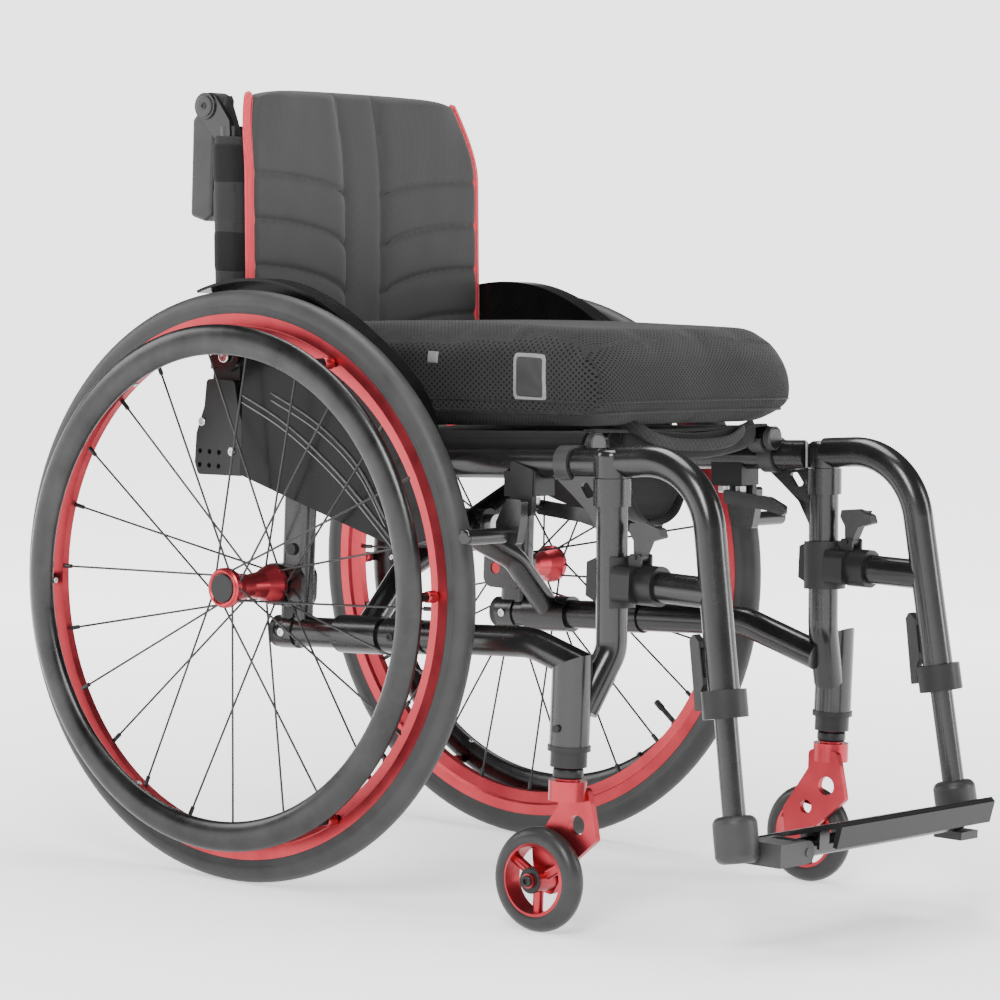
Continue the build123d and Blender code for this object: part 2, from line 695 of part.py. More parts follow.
with BuildPart() as foot_tube:
    add(bar(at(-FOOT_X, FOOT_Y - EAR_IN + 0.3, FOOT_Z), at(-FOOT_X, FOOT_Y + EAR_IN - 0.3, FOOT_Z), HINGE_R))
    add(bar(at(-FOOT_X, FOOT_Y, FOOT_Z), at(158, FOOT_Y, FOOT_Z), FOOT_TUBE_R))
    for clip_x in (-100, 96):
        clip = [(FOOT_Y - 11, 95), (FOOT_Y + 11, 95), (FOOT_Y + 11, 107), (FOOT_Y - 11, 112.4)]
        add(side_plate(clip, clip_x, clip_x + 16))
    add(bar(*HINGE_AXIS_POINTS, 4 + RUN_GAP), mode=Mode.SUBTRACT)

PLATE_SECTION = (
    (-527, 92),
    (-527, 96),
    (-641, 126),
    (-FRONT_REACH, 122),
    (-640, 101),
    (-635.5, 102),
    (-638, 119.6),
)
with BuildPart() as footplate:
    add(side_plate(PLATE_SECTION, -116, 150))
    with BuildSketch(Plane(origin=at(0, 0, 60))):
        with BuildLine():
            Polyline(
                (151, -612),
                (126, -580),
                (120, -520),
                (160, -520),
                (160, -612),
                close=True,
            )
        make_face()
    extrude(amount=90, mode=Mode.SUBTRACT)
    add(side_plate(((-527, 92), (-527, 96), (-560, 104.6), (-560, 100.3)), -148, -116))

with BuildPart() as knuckle_l:
    add(left_hand(knuckle_base.part))
    add(side_plate([(-611, 79), (-611, 87), (-586.5, 87), (-586.5, 102), (-579, 102), (-579, 79)], 146, 176))
    add(left_hand(bar(along_hanger(0), below_hanger(112), EXTENSION_R)), mode=Mode.SUBTRACT)

# ---- brakes ----------------------------------------------------------------------
BRAKE_PIVOT = (-311.0, 396.0)
SHOE = (-301.5, 369.0)
with BuildPart() as brake_block_r:
    with BuildSketch(frame_plane(-TOP_X, 0, 296)):
        with Locations((-2, 152)):
            Rectangle(30, 24)
    extrude(amount=38)
    add(top_tube, mode=Mode.SUBTRACT)
    add(side_plate([(-294, 440), (-322, 432), (-322, 388), (-300, 386), (-294, 410)], -186, -179, 3))
    add(top_tube, mode=Mode.SUBTRACT)
    add(cross_bar(*BRAKE_PIVOT, -200, -150, 3.5 + RUN_GAP), mode=Mode.SUBTRACT)

with BuildPart() as brake_lever_r:
    shoe_arm = [(-320, 404), (-320, 386), (-316, 361), (-290, 361), (-290, 381), (-302, 404)]
    add(side_plate(shoe_arm, -200, -189, 3))
    add(cross_bar(*SHOE, -262, -199, 7.5))
    fillet(faces().sort_by(Axis.X)[0].edges(), 3)
    add(cross_bar(*BRAKE_PIVOT, -190, -156, 3.5))
    hand_arm = [(-304, 402), (-306, 388), (-360, 384), (-380, 380), (-381, 390), (-362, 398)]
    add(side_plate(hand_arm, -158, -152, 3))

# ---- back ------------------------------------------------------------------------
RELEASE_PIVOT = (68.0, 456.0)
with BuildPart() as back_bracket_r:
    lower_block = [(50, 400), (112, 398), (117, 410), (116, 440), (106, 468)]
    lower_block += [(104, 496), (66, 496), (60, 470), (50, 444)]
    add(side_plate(lower_block, -186, -160, 5))
    add(side_plate([(66, 485), (104, 485), (100, 520), (66, 520)], -178, -168))
    add(cross_bar(*BACK_PIVOT, -178, -168, 16))
    add(top_tube, mode=Mode.SUBTRACT)
    for hole_row in range(3):
        for hole_side in range(2):
            add(cross_bar(84 + 13 * hole_row, 408 + 14 * hole_side, -190, -181, 2.6), mode=Mode.SUBTRACT)
    add(cross_bar(*BACK_PIVOT, -200, -150, 4 + RUN_GAP), mode=Mode.SUBTRACT)
    add(cross_bar(*RELEASE_PIVOT, -162, -154, 2.5))

with BuildPart() as back_post_r:
    for cheek_x in (-184.5, -167.5):
        add(cross_bar(*BACK_PIVOT, cheek_x, cheek_x + 6, 16.5))
        add(side_plate([(66, 520), (100, 506), (103, 556), (68, 556)], cheek_x, cheek_x + 6))
    add(side_plate([(68, 541), (102, 541), (103, 562), (70, 562)], -184.5, -161.5, 3))
    add(bar(at(-BACK_X, BACK_PIVOT[0] + 1.5, 550), at(-BACK_X, *BACK_TOP), BACK_R))
    add(cross_bar(*BACK_PIVOT, -187, -159, 4))
    add(side_plate([(84, 738), (104, 738), (129, 762), (129, 780), (108, 784), (86, 758)], -184, -178.5, 6))
    add(cross_bar(*HANDLE_PIVOT, -186, -178.5, 13.5))
    add(cross_bar(*HANDLE_PIVOT, -180, -158, 4))

with BuildPart() as push_handle_r:
    add(side_plate([(112, 764), (112, 662), (122, 655), (142, 660), (143, 758), (136, 766)], -178, -158, 5))
    fillet(faces().sort_by(Axis.X)[0].edges(), 4)
    fillet(faces().sort_by(Axis.X)[-1].edges(), 4)
    add(cross_bar(*HANDLE_PIVOT, -178, -158, 14))
    add(cross_bar(*HANDLE_PIVOT, -190, -150, 4 + RUN_GAP), mode=Mode.SUBTRACT)

with BuildPart() as back_release_r:
    add(side_plate([(47, 438), (52, 433.5), (73, 450), (72, 462), (63, 461)], -159.5, -155, 1.5))
    add(cross_bar(*RELEASE_PIVOT, -162, -150, 2.5 + RUN_GAP), mode=Mode.SUBTRACT)

PANEL_SECTION = ((46, 503), (62, 790), (78, 788), (62, 503))
with BuildPart() as back_upholstery:
    add(side_plate(PANEL_SECTION, -182, 182))
    fillet(faces().sort_by(Axis.Z)[-1].edges().filter_by(Axis.X), 4)
    for wing in (-1, 1):
        low, high = sorted((wing * 190, wing * 185.5))
        add(side_plate([(52, 606), (104, 606), (111, 728), (59, 728)], low, high))
        low, high = sorted((wing * 190, wing * 160))
        add(side_plate([(101.6, 606), (104, 606), (111, 728), (108.6, 728)], low, high))
        low, high = sorted((wing * 190, wing * 176))
        add(side_plate([(52, 606), (62, 606), (70, 728), (59, 728)], low, high))

# ---- write every piece -------------------------------------------------------------
PAIRED = {
    "side_frame": side_frame_r,
    "frame_hardware": frame_hardware_r,
    "seat_saddle": seat_saddle_r,
    "side_guard": side_guard_r,
    "seat_rail": seat_rail_r,
    "wheel_tyre": wheel_tyre_r,
    "wheel_rim": wheel_rim_r,
    "wheel_hub": wheel_hub_r,
    "wheel_spokes": wheel_spokes_r,
    "handrim": handrim_r,
    "hub_button": hub_button_r,
    "castor_fork": castor_fork_r,
    "castor_wheel": castor_wheel_r,
    "castor_tyre": castor_tyre_r,
    "hanger": hanger_r,
    "hanger_latch": hanger_latch_r,
    "release_lever": release_lever_r,
    "clamp_lever": clamp_lever_r,
    "extension": extension_r,
    "brake_block": brake_block_r,
    "brake_lever": brake_lever_r,
    "back_bracket": back_bracket_r,
    "back_post": back_post_r,
    "push_handle": push_handle_r,
    "back_release": back_release_r,
}
SINGLE = {
    "cross_arm_a": cross_arm_a,
    "cross_arm_b": cross_arm_b,
    "cross_bolt": cross_bolt,
    "seat_sling": seat_sling,
    "seat_cushion": seat_cushion,
    "knuckle_r": knuckle_r,
    "knuckle_l": knuckle_l,
    "foot_tube": foot_tube,
    "footplate": footplate,
    "back_upholstery": back_upholstery,
}

for name, piece in SINGLE.items():
    piece.part.label = name
    export_step(piece.part, f"parts/{name}.step")

for name, piece in PAIRED.items():
    piece.part.label = f"{name}_r"
    export_step(piece.part, f"parts/{name}_r.step")
    other = left_hand(piece.part)
    other.label = f"{name}_l"
    export_step(other, f"parts/{name}_l.step")
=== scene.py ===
import math

import bmesh
import bpy
import numpy as np
from mathutils import Matrix, Vector
from mathutils.bvhtree import BVHTree


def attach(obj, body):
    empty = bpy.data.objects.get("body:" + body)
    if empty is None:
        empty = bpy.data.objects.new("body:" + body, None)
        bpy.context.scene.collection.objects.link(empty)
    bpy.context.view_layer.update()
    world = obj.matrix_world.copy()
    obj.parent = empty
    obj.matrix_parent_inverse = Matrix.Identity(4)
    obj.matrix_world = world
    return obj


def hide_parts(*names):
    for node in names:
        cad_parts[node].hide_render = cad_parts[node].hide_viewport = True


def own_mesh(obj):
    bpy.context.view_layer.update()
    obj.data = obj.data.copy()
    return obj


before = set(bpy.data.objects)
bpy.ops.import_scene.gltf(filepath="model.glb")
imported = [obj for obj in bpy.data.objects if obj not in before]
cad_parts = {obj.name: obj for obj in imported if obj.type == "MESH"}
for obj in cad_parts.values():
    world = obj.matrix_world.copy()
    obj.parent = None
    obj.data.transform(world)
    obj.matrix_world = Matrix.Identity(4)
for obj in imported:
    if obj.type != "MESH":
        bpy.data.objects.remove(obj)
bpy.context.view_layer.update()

# Positions are in millimetres, measured from the rear axle line and the floor, and at() turns them
# into the shared frame, which is in metres, as are the radii given to tube() and lathe().
# -Y is forwards and -X is the sitter's right-hand side.
AXLE_Y = 175.0
TILT = math.radians(3.4)
SIDES = (("r", -1), ("l", 1))
FRAME_LOW_Z = 247.5
FRAME_X, FRAME_TUBE_R = 177, 17.0
RAIL_X, RAIL_H = 147, 188.6
WHEEL_Z = 295
CASTOR_Y, CASTOR_Z = -378, 50
FULL_TURN = 6.2832


def at(x, y, z):
    return Vector((x / 1000, (AXLE_Y + y) / 1000, z / 1000))


def in_frame(x, h, s):
    """A point across, above and forward along the tilted frame tubes."""
    rise = h * math.cos(TILT) + s * math.sin(TILT)
    return at(x, h * math.sin(TILT) - s * math.cos(TILT), FRAME_LOW_Z + rise)


# ---- materials ---------------------------------------------------------------------------------
class Shade:
    """A small helper that builds one procedural material."""

    def __init__(self, name):
        self.material = bpy.data.materials.new(name)
        self.material.use_nodes = True
        self.tree = self.material.node_tree
        self.bsdf = self.tree.nodes["Principled BSDF"]
        self.coords = self.add("ShaderNodeTexCoord").outputs["Object"]

    def add(self, kind, **settings):
        node = self.tree.nodes.new(kind)
        for key, value in settings.items():
            setattr(node, key, value)
        return node

    def put(self, socket, value):
        if isinstance(value, bpy.types.NodeSocket):
            self.tree.links.new(value, socket)
        else:
            socket.default_value = value

    def set(self, **values):
        for key, value in values.items():
            self.put(self.bsdf.inputs[key.replace("_", " ")], value)

    def noise(self, scale, detail=3.0, rough=0.55):
        node = self.add("ShaderNodeTexNoise")
        self.put(node.inputs["Vector"], self.coords)
        self.put(node.inputs["Scale"], scale)
        self.put(node.inputs["Detail"], detail)
        self.put(node.inputs["Roughness"], rough)
        return node.outputs["Fac"]

    def wave(self, scale, direction, vector):
        node = self.add("ShaderNodeTexWave", bands_direction=direction)
        self.put(node.inputs["Vector"], vector)
        self.put(node.inputs["Scale"], scale)
        self.put(node.inputs["Distortion"], 0.0)
        self.put(node.inputs["Detail"], 1.0)
        return node.outputs["Fac"]

    def remap(self, value, low, high, out_low, out_high):
        node = self.add("ShaderNodeMapRange")
        for key, item in (("Value", value), ("From Min", low), ("From Max", high),
                          ("To Min", out_low), ("To Max", out_high)):
            self.put(node.inputs[key], item)
        return node.outputs["Result"]

    def math(self, operation, a, b=0.0):
        node = self.add("ShaderNodeMath", operation=operation)
        self.put(node.inputs[0], a)
        self.put(node.inputs[1], b)
        return node.outputs[0]

    def blend(self, factor, a, b):
        node = self.add("ShaderNodeMix", data_type="RGBA")
        self.put(node.inputs["Factor"], factor)
        self.put(node.inputs[6], a)
        self.put(node.inputs[7], b)
        return node.outputs[2]

    def axes(self, vector=None):
        node = self.add("ShaderNodeSeparateXYZ")
        self.put(node.inputs[0], vector or self.coords)
        return node.outputs[0], node.outputs[1], node.outputs[2]

    def normal_axes(self):
        node = self.add("ShaderNodeSeparateXYZ")
        self.put(node.inputs[0], self.add("ShaderNodeTexCoord").outputs["Normal"])
        return node.outputs[0], node.outputs[1], node.outputs[2]

    def moved(self, rotation=(0, 0, 0), scale=(1, 1, 1)):
        node = self.add("ShaderNodeMapping")
        self.put(node.inputs["Vector"], self.coords)
        self.put(node.inputs["Rotation"], rotation)
        self.put(node.inputs["Scale"], scale)
        return node.outputs[0]

    def bump(self, height, strength, distance, normal=None):
        node = self.add("ShaderNodeBump")
        self.put(node.inputs["Height"], height)
        self.put(node.inputs["Strength"], strength)
        self.put(node.inputs["Distance"], distance)
        if normal is not None:
            self.put(node.inputs["Normal"], normal)
        return node.outputs["Normal"]


def grey(value, tint=(1.0, 1.0, 1.0)):
    return (value * tint[0], value * tint[1], value * tint[2], 1.0)


def coated(name, low, high, rough, metal=0.0, grain=900.0, grain_depth=0.00003, coat=0.0, spread=0.07,
           smudge=26.0, shine=0.3):
    """Paint, plastic, rubber or anodised metal: cloudy colour, uneven gloss and a fine grain."""
    shade = Shade(name)
    cloud = shade.noise(smudge, 4.0)
    colour = shade.blend(shade.remap(cloud, 0.3, 0.7, 0.0, 1.0), low, high)
    scuffs = shade.noise(150.0, 5.0, 0.7)
    shade.set(Base_Color=colour, Metallic=metal, Specular_IOR_Level=shine)
    shade.set(Coat_Weight=coat, Coat_Roughness=0.12)
    gloss = shade.math("ADD", shade.remap(cloud, 0.3, 0.7, rough - spread, rough + spread),
                       shade.remap(scuffs, 0.45, 0.75, 0.0, 0.05))
    shade.set(Roughness=gloss, Normal=shade.bump(shade.noise(grain, 2.0), 0.35, grain_depth))
    return shade


def brushed(name, low, high, rough, around):
    """Turned metal: fine rings about an axle through `around`, across X."""
    shade = coated(name, low, high, rough, metal=0.92, spread=0.05)
    radius = ring_distance(shade, around)
    rings = shade.math("SINE", shade.math("MULTIPLY", radius, 9000.0))
    grain = shade.bump(shade.noise(900.0, 2.0), 0.25, 0.00002)
    shade.set(Normal=shade.bump(rings, 0.12, 0.00003, grain))
    return shade


def ring_distance(shade, around):
    """Distance from an axle that lies along X."""
    _, y, z = shade.axes()
    dy = shade.math("SUBTRACT", y, around[1])
    dz = shade.math("SUBTRACT", z, around[2])
    squares = shade.math("ADD", shade.math("MULTIPLY", dy, dy), shade.math("MULTIPLY", dz, dz))
    return shade.math("SQRT", squares)


def banded_rubber(name, around, mid, low, high, rough, pitch, depth):
    """Rubber with fine moulding rings on its side walls and none on the crown."""
    shade = coated(name, low, high, rough, grain=500.0, grain_depth=0.00005, spread=0.06)
    radius = ring_distance(shade, around)
    rings = shade.math("SINE", shade.math("MULTIPLY", radius, FULL_TURN / pitch))
    wall = shade.remap(radius, mid - 0.004, mid + 0.004, 1.0, 0.0)
    height = shade.math("MULTIPLY", rings, wall)
    grain = shade.bump(shade.noise(700.0, 3.0), 0.3, 0.00006)
    shade.set(Normal=shade.bump(height, 0.35, depth, grain))
    return shade


def mesh_knit(name, pitch, low, high, depth, front=0.75):
    """Warp-knit spacer mesh: staggered rows of small holes, closer together on the front and top."""
    shade = Shade(name)
    x, y, z = shade.axes(shade.moved(scale=(1000.0, 1000.0, 1000.0)))
    nx, _, nz = shade.normal_axes()
    on_side = shade.remap(shade.math("ABSOLUTE", nx), 0.62, 0.7, 0.0, 1.0)
    on_top = shade.remap(shade.math("ABSOLUTE", nz), 0.66, 0.74, 0.0, 1.0)
    wander = shade.math("MULTIPLY", shade.noise(14.0, 2.0), 3.0)

    def mixed(factor, a, b):
        node = shade.add("ShaderNodeMix", data_type="FLOAT")
        shade.put(node.inputs["Factor"], factor)
        shade.put(node.inputs[2], a)
        shade.put(node.inputs[3], b)
        return node.outputs[0]

    across = shade.math("ADD", mixed(on_side, x, y), wander)
    upward = shade.math("ADD", mixed(on_top, z, y), wander)
    rate = mixed(on_side, FULL_TURN / (pitch * front), FULL_TURN / pitch)
    columns = shade.math("COSINE", shade.math("MULTIPLY", across, rate))
    rows = shade.math("COSINE", shade.math("MULTIPLY", upward, shade.math("MULTIPLY", rate, 1.2)))
    threads = shade.remap(shade.math("MULTIPLY", columns, rows), 0.05, 0.6, 1.0, 0.0)
    cloud = shade.remap(shade.noise(9.0, 3.0), 0.3, 0.7, 0.7, 1.1)
    colour = shade.blend(shade.math("MULTIPLY", threads, cloud), low, high)
    shade.set(Base_Color=colour, Roughness=0.9, Specular_IOR_Level=0.12)
    shade.set(Sheen_Weight=0.08, Sheen_Roughness=0.5)
    soft = shade.bump(shade.noise(60.0, 3.0), 0.25, 0.0012)
    shade.set(Normal=shade.bump(threads, 0.6, depth, soft))
    return shade


def woven(name, pitch, low, high, rough=0.8, sheen=0.1, depth=0.00018, turn=0.0, cloudy=14.0):
    """A plain weave of two crossed thread directions."""
    shade = Shade(name)
    turned = shade.moved(rotation=(turn, turn * 0.5, turn))
    scale = 1.0 / (pitch * 20.0) * FULL_TURN / 2.0
    warp = shade.wave(scale, "X", turned)
    weft = shade.wave(scale, "Z", turned)
    depthwise = shade.wave(scale, "Y", turned)
    crossed = shade.math("MULTIPLY", warp, weft)
    threads = shade.math("MAXIMUM", crossed, shade.math("MULTIPLY", depthwise, warp))
    cloud = shade.noise(cloudy, 4.0)
    tone = shade.math("ADD", shade.math("MULTIPLY", threads, 0.6), shade.remap(cloud, 0.3, 0.7, 0.0, 0.4))
    shade.set(Base_Color=shade.blend(tone, low, high), Roughness=rough)
    shade.set(Sheen_Weight=sheen, Specular_IOR_Level=0.2)
    folds = shade.bump(shade.noise(38.0, 3.0), 0.2, 0.0012)
    shade.set(Normal=shade.bump(threads, 0.7, depth, folds))
    return shade


TOWS_PER_METRE = 620.0


def carbon(name):
    """Twill-woven fibre under a clear coat."""
    shade = Shade(name)
    diagonal = shade.moved(rotation=(0, 0, math.radians(45)))
    x, y, _ = shade.axes(diagonal)
    across = shade.math("MULTIPLY", x, TOWS_PER_METRE)
    steps = shade.math("FLOOR", shade.math("MULTIPLY", y, TOWS_PER_METRE))
    tows = shade.math("ADD", across, steps)
    twill = shade.math("PINGPONG", tows, 1.0)
    fibre = shade.wave(260.0, "DIAGONAL", diagonal)
    tone = shade.math("ADD", shade.math("MULTIPLY", twill, 0.75), shade.math("MULTIPLY", fibre, 0.25))
    shade.set(Base_Color=shade.blend(tone, grey(0.003), grey(0.02)), Metallic=0.0, Coat_Weight=0.1,
              Specular_IOR_Level=0.2)
    shade.set(Roughness=shade.remap(tone, 0.0, 1.0, 0.28, 0.5), Coat_Roughness=0.1)
    shade.set(Normal=shade.bump(twill, 0.3, 0.0001))
    return shade


WHEEL_AXLE = at(0, 0, WHEEL_Z)
CASTOR_AXLE = at(0, CASTOR_Y, CASTOR_Z)
BLACK = coated("satin_black_tube", grey(0.005), grey(0.009), 0.24, coat=0.1, grain_depth=0.00001, shine=0.5,
               spread=0.025)
DARK = coated("black_plastic", grey(0.008), grey(0.014), 0.4, grain=1400.0, grain_depth=0.00006)
GREY = coated("grey_plastic", grey(0.026), grey(0.04), 0.42, grain=1400.0, grain_depth=0.00007)
GLOSS = coated("gloss_guard", grey(0.003), grey(0.006), 0.24, coat=0.05, grain_depth=0.00001, spread=0.04,
               shine=0.15)
SILVER = coated("zinc_bolt", grey(0.5), grey(0.62), 0.3, metal=1.0)
RED_LOW, RED_HIGH = (0.36, 0.034, 0.046, 1), (0.48, 0.052, 0.066, 1)
RED = brushed("red_anodised", RED_LOW, RED_HIGH, 0.36, WHEEL_AXLE)
RED_SMALL = brushed("red_anodised_castor", RED_LOW, RED_HIGH, 0.34, CASTOR_AXLE)
HANDRIM = brushed("handrim_black", grey(0.035), grey(0.055), 0.3, WHEEL_AXLE)
SPOKE = coated("spoke_black", grey(0.03), grey(0.05), 0.35, metal=0.6)
TYRE = banded_rubber("tyre_rubber", WHEEL_AXLE, 0.2825, grey(0.026), grey(0.042), 0.5, 0.0016, 0.00012)
CASTOR = banded_rubber("castor_rubber", CASTOR_AXLE, 0.036, grey(0.02), grey(0.034), 0.36, 0.004, 0.00005)
GRIP = coated("grip_rubber", grey(0.02), grey(0.034), 0.42, grain=1800.0, grain_depth=0.00012)
MESH = mesh_knit("spacer_mesh", 7.0, grey(0.0015), grey(0.026), 0.0006)
KNIT = woven("sling_weave", 0.0012, grey(0.004), grey(0.012))
BACK = woven("back_cloth", 0.0008, grey(0.022), grey(0.032), 0.62, 0.1, 0.00008, 0.2, 5.0)
SLEEVE = woven("sleeve_cloth", 0.001, grey(0.007), grey(0.014), 0.7, 0.08)
WEBBING = woven("webbing", 0.0022, grey(0.006), grey(0.022), 0.7, 0.1, 0.0003, 0.785)
PIPING = woven("red_tape", 0.0012, (0.4, 0.02, 0.035, 1), (0.62, 0.04, 0.06, 1), 0.6, 0.2)
LOOP = mesh_knit("loop_pile", 2.4, grey(0.002), grey(0.01), 0.0003, 1.0)
PATCH = woven("grey_patch", 0.0007, grey(0.02), grey(0.035), 0.7, 0.1, 0.00008)
# pale woven trim for the patch rim and the small tag; the guard's raised lines use it too, where the pale
# colour is a painted highlight
PALE_TRIM_AND_HIGHLIGHT = woven("pale_trim_and_painted_highlight", 0.0007, grey(0.14), grey(0.22), 0.7, 0.1, 0.00008)
CARBON = carbon("carbon_twill")

NODE_SHADES = {
    "side_frame": BLACK, "frame_hardware": DARK, "seat_saddle": GREY, "side_guard": GLOSS,
    "seat_rail": BLACK, "wheel_tyre": TYRE, "wheel_rim": RED, "wheel_hub": RED,
    "wheel_spokes": SPOKE, "handrim": HANDRIM, "hub_button": DARK, "castor_fork": RED_SMALL,
    "castor_wheel": RED_SMALL, "castor_tyre": CASTOR, "hanger": BLACK, "hanger_latch": DARK,
    "release_lever": GREY, "clamp_lever": GREY, "extension": BLACK, "knuckle": GREY,
    "brake_block": DARK, "brake_lever": BLACK, "back_bracket": DARK, "back_post": BLACK,
    "push_handle": GRIP, "back_release": RED, "cross_arm_a": BLACK, "cross_arm_b": BLACK,
    "cross_bolt": SILVER, "seat_sling": KNIT, "seat_cushion": MESH, "foot_tube": BLACK,
    "footplate": CARBON, "back_upholstery": BACK,
}
for name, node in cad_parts.items():
    shade = NODE_SHADES.get(name) or NODE_SHADES[name[:-2]]
    node.data.materials.clear()
    node.data.materials.append(shade.material)


# ---- mesh helpers --------------------------------------------------------------------------------
def piece(name, verts, faces, shade, body):
    mesh = bpy.data.meshes.new(name)
    mesh.from_pydata([tuple(v) for v in verts], [], [tuple(f) for f in faces])
    built = bmesh.new()
    built.from_mesh(mesh)
    bmesh.ops.recalc_face_normals(built, faces=built.faces)
    built.to_mesh(mesh)
    built.free()
    mesh.polygons.foreach_set("use_smooth", [True] * len(mesh.polygons))
    mesh.materials.append(shade.material)
    obj = bpy.data.objects.new(name, mesh)
    bpy.context.scene.collection.objects.link(obj)
    if body:
        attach(obj, body)
    return obj


def rings_to_faces(count, around, closed_path=False):
    faces = []
    for i in range(count if closed_path else count - 1):
        for j in range(around):
            k = (j + 1) % around
            n = (i + 1) % count
            faces.append((i * around + j, i * around + k, n * around + k, n * around + j))
    if not closed_path:
        faces.append(tuple(range(around)))
        faces.append(tuple(range((count - 1) * around, count * around)))
    return faces


def sweep(points, outline, up=Vector((0, 0, 1)), closed=False):
    """Rings of an outline (pairs of side and up offsets, metres, or a list of such per point)."""
    verts = []
    count = len(points)
    for i, point in enumerate(points):
        before = points[(i - 1) % count] if closed or i else point
        after = points[(i + 1) % count] if closed or i < count - 1 else point
        along = (after - before).normalized()
        side = along.cross(up)
        side = side.normalized() if side.length > 1e-6 else Vector((1, 0, 0))
        top = side.cross(along)
        ring = outline[i] if isinstance(outline[0], list) else outline
        verts += [point + side * a + top * b for a, b in ring]
    return verts


def circle(radius, count=16, tall=None):
    tall = radius if tall is None else tall
    turns = [2 * math.pi * k / count for k in range(count)]
    return [(radius * math.cos(t), tall * math.sin(t)) for t in turns]


def tube(name, points, radius, shade, body, up=Vector((0, 0, 1)), closed=False, count=14, tall=None):
    outline = circle(radius, count, tall)
    rings = outline
    if not closed:
        ends = {0: 0.55, 1: 0.9, len(points) - 2: 0.9, len(points) - 1: 0.55}
        rings = [[(a * ends.get(i, 1), b * ends.get(i, 1)) for a, b in outline] for i in range(len(points))]
    verts = sweep(points, rings, up, closed)
    return piece(name, verts, rings_to_faces(len(points), count, closed), shade, body)


def lathe(name, origin, axis, profile, shade, body, count=32):
    """A turned piece: profile pairs are (distance along the axis, radius), metres."""
    axis = axis.normalized()
    side = axis.cross(Vector((0.3, 0.5, 0.81))).normalized()
    top = axis.cross(side)
    verts = []
    for along, radius in profile:
        for k in range(count):
            turn = 2 * math.pi * k / count
            outward = side * math.cos(turn) + top * math.sin(turn)
            verts.append(origin + axis * along + outward * max(radius, 1e-5))
    return piece(name, verts, rings_to_faces(len(profile), count), shade, body)


def smooth_path(points, steps=10):
    """A Catmull-Rom curve through points."""
    found = []
    for i in range(len(points) - 1):
        a = points[max(i - 1, 0)]
        b, c = points[i], points[i + 1]
        d = points[min(i + 2, len(points) - 1)]
        for k in range(steps):
            t = k / steps
            found.append(0.5 * ((2 * b) + (c - a) * t + (2 * a - 5 * b + 4 * c - d) * t * t
                                + (3 * b - a - 3 * c + d) * t ** 3))
    found.append(points[-1])
    return found


def bolt(name, origin, axis, radius, height, shade, body, socket=True, count=6):
    """A screw head with a rounded rim, hexagonal or round, and a sunk socket."""
    r, h = radius / 1000, height / 1000
    profile = [(0, r), (h * 0.75, r), (h, r * 0.86)]
    if socket:
        profile += [(h, r * 0.5), (h * 0.35, r * 0.45), (h * 0.35, 0)]
    else:
        profile += [(h, 0)]
    made = lathe(name, origin, axis, profile, shade, body, count)
    made.data.polygons.foreach_set("use_smooth", [False] * len(made.data.polygons))
    return made


# ---- cushion -------------------------------------------------------------------------------------
CUSHION_HALF = 168
CUSHION_MIDDLE = -181
VOXEL = 0.006
MOST_SWELL = 0.009
CUSHION_TOP = 0.5685
CUSHION_SIDE = 0.175
CUSHION_NOSE = -400
CUSHION_REAR = 37
SLING_TOP_H = 205.6


def cushion_shell():
    """A crowned block, rounded at the front, a little smaller than the finished cushion."""
    top = [(30, 547), (-100, 553), (-210, 559), (-290, 563), (-345, 563)]
    top += [(-376, 555), (-391, 536), (-396, 510), (-392, 492)]
    low = [(30, 462), (-100, 469), (-210, 475), (-290, 479), (-338, 481.5)]
    low += [(-362, 482), (-376, 483), (-384, 486), (-388, 490)]
    verts, across = [], 19
    for (ty, tz), (ly, lz) in zip(top, low):
        upper, lower = [], []
        for i in range(across):
            u = 2 * i / (across - 1) - 1
            x = CUSHION_HALF * u
            drop = 15 * abs(u) ** 9 + 3 * u * u
            setback = 9 * abs(u) ** 6 if ty < -250 else 0.0
            upper.append(at(x, ty + setback, max(tz - drop + 3, lz + 2)))
            lower.append(at(x * (1 - 0.02 * abs(u) ** 6), ly + setback, lz))
        verts += upper + lower[::-1]
    return verts, rings_to_faces(len(top), across * 2)


verts, faces = cushion_shell()
cushion = piece("cushion", verts, faces, MESH, None)


def run_modifiers(obj):
    graph = bpy.context.evaluated_depsgraph_get()
    made = bpy.data.meshes.new_from_object(obj.evaluated_get(graph), depsgraph=graph)
    obj.modifiers.clear()
    obj.data = made


remesh = cushion.modifiers.new("remesh", "REMESH")
remesh.mode = "VOXEL"
remesh.voxel_size = VOXEL
run_modifiers(cushion)
start_shape = np.array([v.co for v in cushion.data.vertices], float)
cloth = cushion.modifiers.new("cloth", "CLOTH")
cloth.settings.use_pressure = True
cloth.settings.uniform_pressure_force = 4.0
cloth.settings.tension_stiffness = 15
cloth.settings.quality = 5
cloth.settings.effector_weights.gravity = 0.0
for step in range(1, 21):
    bpy.context.scene.frame_set(step)
run_modifiers(cushion)
bpy.context.scene.frame_set(1)
moved = np.array([v.co for v in cushion.data.vertices], float) - start_shape
reach = np.linalg.norm(moved, axis=1, keepdims=True)
moved = moved * np.minimum(1.0, MOST_SWELL / np.maximum(reach, 1e-9))
shape = start_shape + moved


def frame_floor(x, y):
    """Height of the sling's upper face below a point of the cushion."""
    s = -(y - AXLE_Y / 1000) * 1000 / math.cos(TILT)
    return (FRAME_LOW_Z + SLING_TOP_H * math.cos(TILT) + (s + 12) * math.sin(TILT)) / 1000


